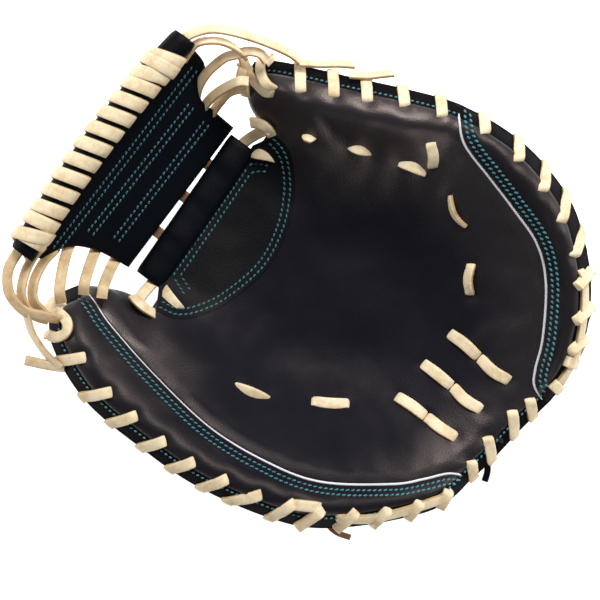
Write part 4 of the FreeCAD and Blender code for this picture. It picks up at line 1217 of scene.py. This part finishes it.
def loop_over_rim(hole, toward, back_hole, lift=LACE_LIFT, follow=1.0):
    """Lace from a hole in the palm, over the rim, to a hole in the back.

    follow is how far its fold turns to lie along the rim.
    """
    hole, toward, back_hole = np.array(hole), np.array(toward), np.array(back_hole)
    d = unit(toward - hole)
    edge = rim_crossing(hole, d)
    along_rim = rim_direction(edge)
    perpendicular = np.array([d[1], -d[0]])
    if along_rim @ perpendicular < 0.0:
        along_rim = -along_rim
    outward = np.array([-along_rim[1], along_rim[0]])
    outward = outward if outward @ d > 0.0 else -outward
    along_rim = unit(along_rim * follow + perpendicular * (1.0 - follow))
    normal = None
    if follow < 0.5:
        middle = (hole + edge) / 2.0
        normal = unit(palm_normal(middle) + np.array([0.0, 0.0, 1.5]))
    rows = out_of_hole(hole, d, wide=0.9, normal=normal)
    length = np.linalg.norm(edge - hole)
    steps = max(4, int(length / 2.2))
    for t in np.linspace(0.14, 0.90, steps):
        turn = float(smooth((t - 0.35) / 0.5))
        side = perpendicular * (1.0 - turn) + along_rim * turn
        raised = lift if follow > 0.5 else 0.9 + (lift - 0.9) * min(1.0, 2.2 * math.sin(math.pi * t))
        rows.append(over_palm(hole + d * length * t, d, raised, side=np.array([*side, 0.0]),
                              normal=normal))
    inner = edge - outward * 0.8
    top = palm_at(inner)
    bottom = back_at(inner)
    rim_side = np.array([along_rim[0], along_rim[1], 0.0])
    rows.append(lace_row([*(edge + outward * 0.5), top + 0.1 + lift * 0.3], rim_side))
    rows.append(lace_row([*(edge + outward * 1.15), (top + bottom) / 2.0], rim_side))
    rows.append(lace_row([*(edge + outward * 0.3), bottom - 0.75], rim_side))
    away = unit(back_hole - edge)
    back_side = np.array([-away[1], away[0], 0.0])
    for t in (0.4, 0.7, 0.92):
        p = edge + (back_hole - edge) * t
        side = rim_side * (1.0 - t) + back_side * t
        rows.append(lace_row([*p, back_at(p) - LACE_LIFT], side))
    rows.append(lace_row([*back_hole, back_at(back_hole) + 2.2], back_side, 0.8))
    return lace_curve(rows)


def tie(start, end, lift=LACE_LIFT, tilt=0.0, bow=0.0, tuck=0.0):
    """Lace that shows on the palm between two holes.

    tilt turns it about its length, bow curves it sideways, and tuck lets its
    ends sink slowly into the leather.
    """
    start, end = np.array(start, float), np.array(end, float)
    d = unit(end - start)
    sideways = np.array([-d[1], d[0]])
    rows = []
    if tuck < SUNK_TIE:
        rows += out_of_hole(start, d)
    ends = 0.12 if tuck < SUNK_TIE else 0.0
    for t in np.linspace(ends, 1.0 - ends, 9):
        arch = math.sin(math.pi * t)
        p = start + (end - start) * t + sideways * bow * (arch - 0.35)
        raised = lift - tuck * (1.0 - arch ** 0.8) * 2.0
        rows.append(over_palm(p, d, raised, 1.0 - min(0.5, 0.35 * tuck) * (1.0 - arch), None, tilt))
    if tuck < SUNK_TIE:
        rows += into_hole(end, d)
    return lace_curve(rows)


def build_laces(name, built, width=LACE_WIDTH, material=LACE):
    """One object from several lace paths."""
    return sweep([b[0] for b in built], [b[1] for b in built], name, material, width)


def rim_series(loops):
    """Loops over the rim, each going on to the hole of the next one."""
    built = []
    for i, (hole, toward) in enumerate(loops):
        hole, toward = np.array(hole), np.array(toward)
        d = unit(toward - hole)
        edge = rim_crossing(hole, d)
        step = np.array(loops[i + 1][0]) - hole if i + 1 < len(loops) else hole - np.array(loops[i - 1][0])
        back_hole = edge - d * 7.5 + unit(step) * min(np.linalg.norm(step) * 0.55, 10.0)
        built.append(loop_over_rim(hole, toward, back_hole))
    return built


bend_finger(build_laces("rim_laces_finger_side", rim_series(FINGER_LOOPS)), "rim_lace_finger")
bend_thumb(build_laces("rim_laces_thumb_side", rim_series(THUMB_LOOPS)), "rim_lace_thumb")
bend_finger(build_laces("rim_laces_heel_right", rim_series(HEEL_LOOPS[:2])), "rim_lace_heel")
bend_thumb(build_laces("rim_laces_heel_left", rim_series(HEEL_LOOPS[2:])))


def on_surface(points, lift=LACE_LIFT):
    """Lace lying on the palm through plan points, with its ends in holes."""
    line = curve(points, 3.0)
    along = np.gradient(line, axis=0)
    rows = [over_palm(p, unit(a), lift) for p, a in zip(line, along)]
    return lace_curve(out_of_hole(line[0], along[0]) + rows[1:-1] + into_hole(line[-1], along[-1]))


def crossing_loops(crossings):
    """Loops that pass over a chain lace and round the rim."""
    built = []
    for hole, toward in crossings:
        d = unit(np.array(toward) - np.array(hole))
        back_hole = rim_crossing(hole, d) - d * 8.0 + np.array([d[1], -d[0]]) * 4.0
        built.append(loop_over_rim(hole, toward, back_hole, CROSSING_LIFT, follow=0.1))
    return built


bend_finger(build_laces("chain_lace_finger_side", [on_surface(FINGER_CHAIN_PATH)]), "chain_lace_finger")
bend_finger(build_laces("chain_loops_finger_side", crossing_loops(FINGER_CROSSINGS)),
            "chain_loops_finger")
bend_thumb(build_laces("chain_lace_thumb_side", [on_surface(THUMB_CHAIN_PATH), on_surface(THUMB_LINK)]),
           "chain_lace_thumb")
bend_thumb(build_laces("chain_loops_thumb_side", crossing_loops(THUMB_CROSSINGS)), "chain_loops_thumb")


def pocket_ties(entries):
    """Ties of the pocket, half sunk into the leather."""
    laces = []
    for a, b, tilt, bow, tuck in entries:
        ends = np.array([a, b])
        start, end = ends.mean(axis=0) + (ends - ends.mean(axis=0)) * TIE_SHOWING
        laces.append(tie(start, end, LACE_LIFT, math.radians(tilt), bow, tuck))
    return laces


bend_finger(build_laces("pocket_ties_finger_side", pocket_ties(FINGER_POCKET_TIES)), "pocket_ties_finger")
bend_thumb(build_laces("pocket_ties_thumb_side", pocket_ties(THUMB_POCKET_TIES)),
           "pocket_tie_thumb", "pocket_tie_palm")
heel_built = [tie(a, b, 1.0, 0.0, bow, 0.2) for (a, b), bow in zip(HEEL_TIES, HEEL_TIE_BOWS)]
ride_palm(build_laces("heel_lace_left", heel_built[:4], 6.2), "heel_ties")
bend_finger(build_laces("heel_lace_right", heel_built[4:], 6.2))


# ---- web ----
def web_height(x, y):
    """Front of the web panel, slightly hollow."""
    up_web = y - WEB_INNER_Y
    middle = 1.0 - ((x - WEB_MIDDLE[0]) / 60.0) ** 2
    return WEB_INNER_Z + up_web * WEB_SLOPE - 1.5 * middle * np.sin(up_web / 42.0 * math.pi)


def web_back_height(x, y):
    """Front of the panel behind the web."""
    return web_height(x, y) - 3.5


web_loop = joined(curve(WEB_LEFT), curve([WEB_LEFT[-1], WEB_RIGHT[0]]), curve(WEB_RIGHT),
                  curve([WEB_RIGHT[-1], (-6.0, 136.0), WEB_LEFT[0]]))
web_front = panel("web_front_leather", web_loop, web_height, 3.2, NAVY_WEB, spacing=3.0)
ride_palm(web_front, "web_front_panel")
back_loop = (web_loop - np.array(WEB_MIDDLE)) * 0.985 + np.array(WEB_MIDDLE)
web_back = panel("web_back_leather", back_loop, web_back_height, 3.0, NAVY_WEB, spacing=3.0)
ride_palm(web_back, "web_back_panel")
web_rows = []
for a, b in (((-64.0, 126.5), (53.0, 125.5)), ((-47.0, 118.0), (37.0, 116.0)),
             ((-42.0, 106.0), (35.0, 105.0))):
    for shift in (-1.5, 1.5):
        web_rows.append(curve([(a[0], a[1] + shift), (b[0], b[1] + shift)]))
ride_palm(stitches("web_stitches", web_rows, web_height, TEAL_DEEP), "web_thread")


def bar_centre(x):
    """Middle of the rolled bar at the top of the web."""
    t = (x - BAR_MIDDLE_X) / (BAR_RIGHT - BAR_MIDDLE_X)
    return np.array([x, 142.0 - 4.2 * t * t, BAR_Z + 0.8 - 1.4 * t * t])


bar_sections = []
for x in np.linspace(BAR_LEFT, BAR_RIGHT, 90):
    c = bar_centre(x)
    end = min(1.0, min(x - BAR_LEFT, BAR_RIGHT - x) / 3.0)
    radius = 7.0 * (0.90 + 0.10 * math.sqrt(max(0.0, end)))
    ring = rounded_ring(radius, radius, 2.1, 36)
    bar_sections.append(np.column_stack([np.full(len(ring), x), c[1] + ring[:, 0], c[2] + ring[:, 1]]))
ride_palm(loft("web_bar_leather", bar_sections, NAVY_WEB), "web_bar_core")


def bar_wrap(x, radius=8.0, slant=-0.30, first=-35.0, last=305.0):
    """One turn of lace round the bar, out of and back into the web."""
    rows = []
    for degrees in np.linspace(first, last, 26):
        a = math.radians(degrees)
        dy, dz = -math.cos(a), math.sin(a)
        shift = slant * (dy + 1.0) * radius if degrees < 180.0 else slant * (3.0 - dy) * radius
        here = bar_centre(x + shift)
        rows.append(lace_row([here[0], here[1] + dy * radius, here[2] + dz * radius], (1.0, 0.0, 0.0)))
    return lace_curve(rows)


wraps = [bar_wrap(FIRST_WRAP_X + WRAP_PITCH * i) for i in range(EVEN_WRAPS)]
# the knots at both ends of the bar: place along it, radius and slant of each turn
for x, radius, slant in ((-65.0, 8.0, -0.12), (-60.5, 8.9, -0.42), (-54.5, 8.1, -0.2),
                         (39.5, 8.1, -0.40), (44.5, 8.9, -0.16), (50.0, 8.0, -0.34)):
    wraps.append(bar_wrap(x, radius, slant))
ride_palm(build_laces("web_bar_wraps", wraps, 7.0), "web_bar_lace")


# ---- laces between the web and the crotch ----
def free_lace(points, up=(0.0, 0.0, 1.0), end_up=None):
    """Lace through points in space, facing up at its start and end_up at its end."""
    line = curve(points, 2.5)
    along = np.gradient(line, axis=0)
    rows = []
    for i, (p, a) in enumerate(zip(line, along)):
        t = i / (len(line) - 1.0)
        facing = np.array(up) * (1.0 - t) + np.array(end_up or up) * t
        rows.append(lace_row(p, np.cross(unit(a), facing)))
    return lace_curve(rows)


bridges = [free_lace([(x, 83.0, 50.5), (x, 88.0, 51.0), (x, 91.0, 51.6), (x, 94.5, 52.0),
                      (x, 98.0, 54.0)])
           for x in BRIDGE_X]
ride_palm(build_laces("web_crotch_bridges", bridges, 6.0, LACE_SHADE), "web_crotch_laces")


# ---- laces from the web to the tips ----
index_web = [
    free_lace([(57.0, 138.5, 100.0), (62.0, 137.5, 101.5), (68.2, 134.0, 102.5), (74.2, 127.9, 103.5),
               (79.3, 117.9, 103.0), (84.0, 105.2, 99.0), (87.6, 91.3, 92.5), (87.6, 84.0, 88.0)],
              (0.3, 0.3, 0.9), (0.5, 0.3, 0.8)),
    free_lace([(53.0, 132.0, 92.0), (58.0, 132.0, 96.0), (63.9, 130.8, 99.0), (70.3, 123.4, 100.5),
               (72.8, 114.7, 98.0), (72.2, 107.6, 92.0)], (0.3, 0.5, 0.8), (0.8, 0.2, 0.5)),
    free_lace([(36.0, 114.5, 68.0), (42.0, 117.2, 72.0), (48.3, 119.0, 79.0), (56.6, 118.8, 87.0),
               (66.0, 116.1, 92.5),
               (70.2, 112.7, 94.5), (75.4, 108.5, 95.5), (78.2, 103.2, 95.0), (77.4, 98.4, 92.0)],
              (-0.2, 0.3, 0.9), (0.4, 0.2, 0.9)),
    free_lace([(34.0, 108.5, 61.5), (38.0, 110.3, 65.0), (43.0, 110.9, 71.0), (51.0, 108.9, 79.0),
               (60.6, 103.8, 86.5),
               (63.5, 100.0, 85.0)], (-0.2, 0.4, 0.9), (-0.2, 0.5, 0.9)),
    free_lace([(34.0, 103.5, 57.5), (38.0, 105.6, 61.0), (42.7, 105.9, 66.5), (48.8, 105.5, 73.5),
               (54.6, 104.2, 79.5),
               (61.0, 99.0, 82.0)], (-0.2, 0.5, 0.9), (-0.2, 0.5, 0.9))]
index_laces = build_laces("web_laces_index", index_web, 5.2)
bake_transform(index_laces)
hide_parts("web_lace_index")
thumb_web = [
    free_lace([(-68.0, 138.5, 97.0), (-74.8, 140.1, 97.0), (-84.5, 139.1, 97.0), (-91.5, 134.8, 97.0),
               (-95.6, 129.3, 97.0), (-97.3, 119.7, 96.0), (-93.7, 110.7, 94.0), (-90.1, 103.2, 91.0)],
              (-0.2, 0.4, 0.9), (-0.6, 0.1, 0.8)),
    free_lace([(-66.0, 132.5, 88.0), (-73.6, 133.0, 91.0), (-83.8, 130.5, 94.0), (-92.8, 125.0, 94.5),
               (-96.5, 116.0, 91.5), (-94.0, 107.5, 88.0)], (-0.1, 0.6, 0.8), (-0.6, 0.3, 0.8)),
    free_lace([(-64.0, 127.0, 82.0), (-72.0, 127.5, 87.0), (-82.0, 125.3, 92.0), (-90.1, 120.0, 92.5),
               (-93.0, 111.0, 89.0)], (0.0, 0.5, 0.8), (-0.3, 0.4, 0.8)),
    free_lace([(-48.0, 124.0, 70.0), (-55.0, 123.5, 73.5), (-62.0, 121.3, 79.5), (-70.0, 117.3, 86.5),
               (-78.6, 112.1, 90.5), (-83.0, 108.0, 87.0)]),
    free_lace([(-42.0, 112.5, 57.5), (-48.5, 112.0, 61.5), (-54.0, 110.6, 68.5), (-61.0, 107.7, 79.5),
               (-68.0, 104.5, 87.5), (-73.0, 101.5, 85.5)]),
    free_lace([(-40.0, 101.0, 48.0), (-46.5, 101.0, 52.0), (-51.5, 100.3, 59.5), (-57.5, 98.4, 72.0),
               (-63.7, 95.9, 84.0), (-69.0, 93.0, 84.5)])]
# these laces take the tan lace colour, which is painted shade
thumb_laces = build_laces("web_laces_thumb", thumb_web, 5.6, LACE_TAN_PAINTED_SHADE)
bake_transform(thumb_laces)
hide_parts("web_lace_thumb")

bend_finger(build_laces("tip_laces_index", [
    on_surface([(73.5, 112.0), (70.4, 108.2), (67.4, 100.2), (65.6, 90.9), (66.6, 86.0)], 1.3),
    on_surface([(80.5, 97.0), (76.5, 99.2), (71.3, 95.7), (68.6, 86.8)], 2.9),
    on_surface([(68.6, 107.3), (63.7, 105.1), (62.6, 99.8), (57.7, 97.0)], 2.0)], 5.4), "index_tip_lace")
bend_thumb(build_laces("tip_laces_thumb", [
    on_surface([(-91.5, 113.0), (-88.0, 107.3), (-88.7, 99.1), (-92.8, 95.6), (-97.8, 98.3),
                (-100.2, 104.3)], 1.6),
    on_surface([(-87.3, 113.2), (-85.2, 110.4), (-84.4, 105.6)], 1.2)], 5.6), "thumb_tip_lace")


# ---- laces that hold the crotch roll ----
bend_finger(build_laces("crotch_laces_finger", [
    free_lace([(48.5, 87.0, 66.0), (50.5, 83.5, 68.5), (51.0, 78.5, 69.0), (49.5, 73.0, 64.0)],
              (-0.5, 0.1, 0.8)),
    free_lace([(36.5, 84.5, 53.0), (41.0, 83.4, 55.0), (46.5, 80.8, 62.0), (50.5, 78.0, 68.0)],
              (-0.5, 0.4, 0.8)),
    free_lace([(37.2, 77.0, 55.0), (38.2, 74.6, 57.8), (40.4, 70.4, 58.4), (42.4, 65.8, 57.0),
               (42.9, 64.6, 54.0)])]))
bend_thumb(build_laces("crotch_laces_thumb", [
    free_lace([(-46.5, 78.1, 54.0), (-51.0, 78.4, 57.5), (-56.5, 78.4, 64.0), (-60.0, 77.5, 70.0)],
              (0.4, 0.3, 0.9)),
    free_lace([(-59.2, 81.5, 69.0), (-59.8, 78.0, 71.5), (-60.2, 73.0, 71.0), (-60.0, 67.6, 66.0)],
              (0.6, 0.0, 0.8)),
    free_lace([(-47.2, 72.0, 54.0), (-47.8, 69.6, 57.5), (-49.2, 64.5, 58.6), (-50.4, 59.6, 58.4),
               (-50.8, 58.2, 55.0)])]))


# ---- short ends of the laces ----
bend_finger(build_laces("lace_ends_index", [
    free_lace([(86.7, 84.5, 89.0), (92.4, 76.1, 88.0), (98.6, 68.2, 86.5), (103.0, 61.5, 85.5)],
              (0.6, 0.3, 0.7)),
    free_lace([(97.0, 60.4, 92.0), (102.2, 52.9, 91.0), (107.4, 47.4, 90.5), (111.4, 43.0, 90.0)],
              (0.6, 0.3, 0.7))], 4.6))
bend_thumb(build_laces("lace_end_thumb", [
    free_lace([(-108.3, 87.0, 88.0), (-111.0, 91.3, 86.5), (-113.8, 96.8, 86.0), (-117.6, 105.1, 86.0)],
              (-0.5, 0.2, 0.8)),
    free_lace([(-98.0, 118.1, 94.0), (-103.6, 111.2, 91.0), (-106.8, 103.9, 89.0), (-108.8, 96.9, 88.0),
               (-109.3, 88.0, 88.0)], (-0.8, 0.2, 0.5))], 5.2))

heel_tail = free_lace([(-17.0, -113.5, 62.0), (-19.0, -116.5, 60.5), (-22.0, -118.8, 59.5),
                       (-26.5, -120.5, 59.0)])
bend_thumb(build_laces("heel_lace_end", [heel_tail], 3.4, NAVY_WEB))
tab = free_lace([(-90.5, -66.5, 83.0), (-92.2, -70.0, 84.5), (-92.2, -75.0, 84.0), (-90.3, -81.2, 82.0)])
bend_thumb(build_laces("thumb_lace_end_dark", [tab], 3.0, LACE_SHADE))


# ---- back: welts, bindings and stitching ----
def on_back(line, drop):
    """Plan curve laid on the outside of the back."""
    line = np.asarray(line, float)
    return np.column_stack([line, back_surface(line[:, 0], line[:, 1]) - drop])


def merged(name, objects):
    """One object from several that share a material."""
    vertices, faces = [], []
    for obj in objects:
        base = len(vertices)
        vertices.extend(np.array(v.co[:]) / MM for v in obj.data.vertices)
        faces.extend(tuple(base + i for i in f.vertices) for f in obj.data.polygons)
    material = objects[0].data.materials[0]
    for obj in objects:
        bpy.data.objects.remove(obj)
    return new_object(name, vertices, faces, material, 70.0)


finger_welts = [curve(points, 2.5) for points in FINGER_WELTS]
thumb_welts = [curve(points, 2.5) for points in THUMB_WELTS]


def welts(name, lines):
    """Rolled leather welts sewn into the seams of the back."""
    return merged(name, [round_cord(name + "_part", on_back(line, 0.4), 1.5, NAVY_WEB, 8)
                         for line in lines])


def back_stitches(name, lines):
    """Stitching on both sides of the welts of the back."""
    rows = [beside(line, offset)[1:-1] for line in lines for offset in (-WELT_STITCHES, WELT_STITCHES)]
    return stitches(name, rows, back_surface, lift=BACK_STITCH_LIFT)


bend_finger(welts("back_welts_finger_side", finger_welts))
bend_thumb(welts("back_welts_thumb_side", thumb_welts))
bend_finger(back_stitches("back_stitches_finger_side", finger_welts))
bend_thumb(back_stitches("back_stitches_thumb_side", thumb_welts))


def binding(name, points):
    """Rolled binding over the edge of the hand opening."""
    line = curve(points, 2.5)
    path = np.column_stack([line, back_surface(line[:, 0], line[:, 1]) + 1.2])
    return round_cord(name, path, 2.6, BINDING_DARKENED_FOR_TRENCH_SHADE, 12)


bend_thumb(binding("hand_opening_binding_left", [
    (-32.0, -112.0), (-40.5, -90.0), (-43.5, -66.0), (-38.0, -57.0), (-28.0, OPENING_Y), opening_top]))
bend_finger(binding("hand_opening_binding_right", [
    opening_top, (24.0, OPENING_Y), (33.0, -57.5), (37.0, -66.0), (34.0, -90.0), (27.0, -119.0)]))
opening_row = curve([(-42.0, -50.5), (-20.0, -50.0), (SPLIT_X, -50.0)])
bend_thumb(stitches("hand_opening_stitches_left", [opening_row], back_surface, lift=BACK_STITCH_LIFT))
opening_row = curve([(SPLIT_X, -50.0), (16.0, -50.0), (36.0, -50.5)])
bend_finger(stitches("hand_opening_stitches_right", [opening_row], back_surface, lift=BACK_STITCH_LIFT))


def heel_cuff(name, first, last):
    """Rolled leather cuff under the heel's rim, which closes the padding there."""
    rim = curve(HEEL_RIM, 1.0)[::-1]
    sections = []
    for x in np.linspace(first, last, 16):
        y = float(np.interp(x, rim[:, 0], rim[:, 1]))
        z = float(palm_height(x, y + 6.5)[0])
        ring = rounded_ring(5.6, 4.6, 2.3, 28)
        sections.append(np.column_stack([np.full(len(ring), x), y + 7.4 + ring[:, 0],
                                         z - 8.2 + ring[:, 1]]))
    return loft(name, sections, BINDING_DARKENED_FOR_TRENCH_SHADE)


bend_thumb(heel_cuff("heel_cuff_left", -31.0, SPLIT_X))
bend_finger(heel_cuff("heel_cuff_right", SPLIT_X, 26.0))


# ---- wrist strap and inner parts ----
strap_low = [(-38.0, -97.0), (-4.0, -99.0), (30.0, -97.0)]
strap_high = [(32.0, -64.0), (-4.0, -62.5), (-40.0, -64.0)]
strap_loop = joined(curve(strap_low), curve([strap_low[-1], strap_high[0]]), curve(strap_high),
                    curve([strap_high[-1], strap_low[0]]))


def strap_face(x, y):
    """Side of the wrist strap that the fleece lies on."""
    return np.full_like(x, STRAP_TOP)


def strap_stitch_height(x, y):
    """Side of the wrist strap that shows from behind."""
    return np.full_like(x, 0.25)


strap = panel("wrist_strap_leather", strap_loop, strap_face, STRAP_TOP, NAVY_WEB, spacing=4.0,
              round_edge=1.6)
ride_palm(strap, "wrist_strap")


def strap_side(name, points):
    """Leather that comes down from the edge of the hand opening to the end of the strap.

    Its points give the way across the mitt and the height.
    """
    line = curve([(x, STRAP_MIDDLE[1], z) for x, z in points], 2.0)
    rows = [lace_row(p, (0.0, 1.0, 0.0), 1.0 - 0.12 * math.sin(math.pi * i / (len(line) - 1.0)))
            for i, p in enumerate(line)]
    return build_laces(name, [lace_curve(rows)], 30.0, NAVY_WEB)


bend_thumb(strap_side("wrist_strap_side_left", [
    (-48.5, 52.0), (-45.0, 43.0), (-42.6, 28.0), (-40.5, 13.0), (-37.5, 4.6), (-31.0, 1.8)]))
bend_finger(strap_side("wrist_strap_side_right", [
    (42.0, 34.0), (38.6, 26.0), (36.2, 17.0), (33.6, 9.0), (30.0, 4.0), (24.0, 1.8)]))
strap_middle = np.array(STRAP_MIDDLE)
strap_rows = [joined((strap_loop - strap_middle) * scale + strap_middle) for scale in (0.93, 0.86)]
ride_palm(stitches("wrist_strap_stitches", [np.vstack([row, row[:1]]) for row in strap_rows],
                   strap_stitch_height, lift=0.0))


def fleece_height(x, y):
    """Puffed top of the fleece on the wrist strap."""
    edge = np.minimum(np.minimum(x - FLEECE_LEFT, FLEECE_RIGHT - x),
                      np.minimum(y - FLEECE_LOW, FLEECE_HIGH - y))
    return 5.4 + 4.2 * np.sqrt(smooth(edge / 9.0)) + 0.5 * soft_noise(x, y, 7.0, 2.2)


fleece_loop = polygon([(FLEECE_LEFT, FLEECE_LOW), (FLEECE_RIGHT, FLEECE_LOW),
                       (FLEECE_RIGHT + 1.0, FLEECE_HIGH), (FLEECE_LEFT - 1.0, FLEECE_HIGH)])
fleece = panel("wrist_fleece_pad", fleece_loop, fleece_height, 1.9, FLEECE, spacing=2.0,
               round_edge=0.9)
for vertex in fleece.data.vertices[len(fleece.data.vertices) // 2:]:
    vertex.co.z = (STRAP_TOP + 0.1) * MM
ride_palm(fleece, "wrist_fleece")

strap_laces = [free_lace([(x, -70.0, 1.5), (x, -68.5, 4.6), (x, -62.0, 5.0), (x, -56.0, 5.2),
                          (x, -53.5, 4.4), (x, -52.5, 1.0)]) for x in (-26.0, -8.0, 10.0)]
ride_palm(build_laces("wrist_strap_laces", strap_laces, 5.0), "strap_lace")

SLOT_MATERIALS = {"leather": NAVY, "lining_leather": LINING, "lace": LACE, "felt": FELT, "fleece": FLEECE,
                  "thread": TEAL, "piping": PIPING}
node_slots = {entry["node"]: entry["material_slot"] for entry in frame["record"]["subparts"]}
for name, obj in frame["nodes"].items():
    obj.data.materials.clear()
    obj.data.materials.append(SLOT_MATERIALS.get(node_slots.get(name), NAVY))


# ---- floor, light and camera ----
def area_light(name, location, target, size, power):
    """Soft box that points at a target."""
    data = bpy.data.lights.new(name, "AREA")
    data.shape = "DISK"
    data.size = size
    data.energy = power
    obj = bpy.data.objects.new(name, data)
    obj.location = location
    obj.rotation_euler = (Vector(target) - Vector(location)).to_track_quat("-Z", "Y").to_euler()
    bpy.context.collection.objects.link(obj)


floor_mesh = bpy.data.meshes.new("floor")
floor_corners = [(FLOOR_HALF * x, FLOOR_HALF * y, -0.002) for x,
                 y in ((-1, -1), (1, -1), (1, 1), (-1, 1))]
floor_mesh.from_pydata(floor_corners, [], [(0, 1, 2, 3)])
floor = bpy.data.objects.new("floor", floor_mesh)
bpy.context.collection.objects.link(floor)
floor_nodes = Nodes("pale_floor")
floor_color = floor_nodes.ramp(floor_nodes.noise(3.0, 2.0),
                               [(0.0, (0.86, 0.86, 0.86)), (1.0, (0.88, 0.88, 0.88))])
floor_mesh.materials.append(floor_nodes.finish(floor_color, 0.8, None,
                                               Emission_Color=(1.0, 1.0, 1.0, 1.0),
                                               Emission_Strength=0.75))

world = bpy.data.worlds.new("studio")
bpy.context.scene.world = world
world.use_nodes = True
world.node_tree.nodes["Background"].inputs["Color"].default_value = (1.0, 1.0, 1.0, 1.0)
world.node_tree.nodes["Background"].inputs["Strength"].default_value = 0.12

# each light: name, place, diameter in metres and power in watts
for light_name, place, size, power in (
        ("key_light", PICTURE_UP * 1.05 + PICTURE_RIGHT * 0.2 + TOWARD_CAMERA * 1.25, 0.75, 26.0),
        ("left_light", PICTURE_RIGHT * -1.4 + PICTURE_UP * 0.5 + TOWARD_CAMERA * 0.75, 0.5, 12.0),
        ("right_light", PICTURE_RIGHT * 1.4 + PICTURE_UP * 0.4 + TOWARD_CAMERA * 0.8, 0.6, 15.0),
        ("low_light", PICTURE_UP * -1.5 + TOWARD_CAMERA * 0.6, 0.8, 5.0)):
    area_light(light_name, place, (0.0, 0.0, 0.06), size, power)
bpy.context.scene.view_settings.view_transform = "Standard"

camera_data = bpy.data.cameras.new("camera")
camera_data.lens = 200.0
camera_data.sensor_width = 36.0
camera = bpy.data.objects.new("camera", camera_data)
bpy.context.collection.objects.link(camera)
back_axis = PICTURE_RIGHT.cross(PICTURE_UP)
turn = Matrix((PICTURE_RIGHT, PICTURE_UP, back_axis)).transposed()
camera.matrix_world = Matrix.Translation(LOOK_AT + TOWARD_CAMERA * CAMERA_HEIGHT) @ turn.to_4x4()
bpy.context.scene.camera = camera
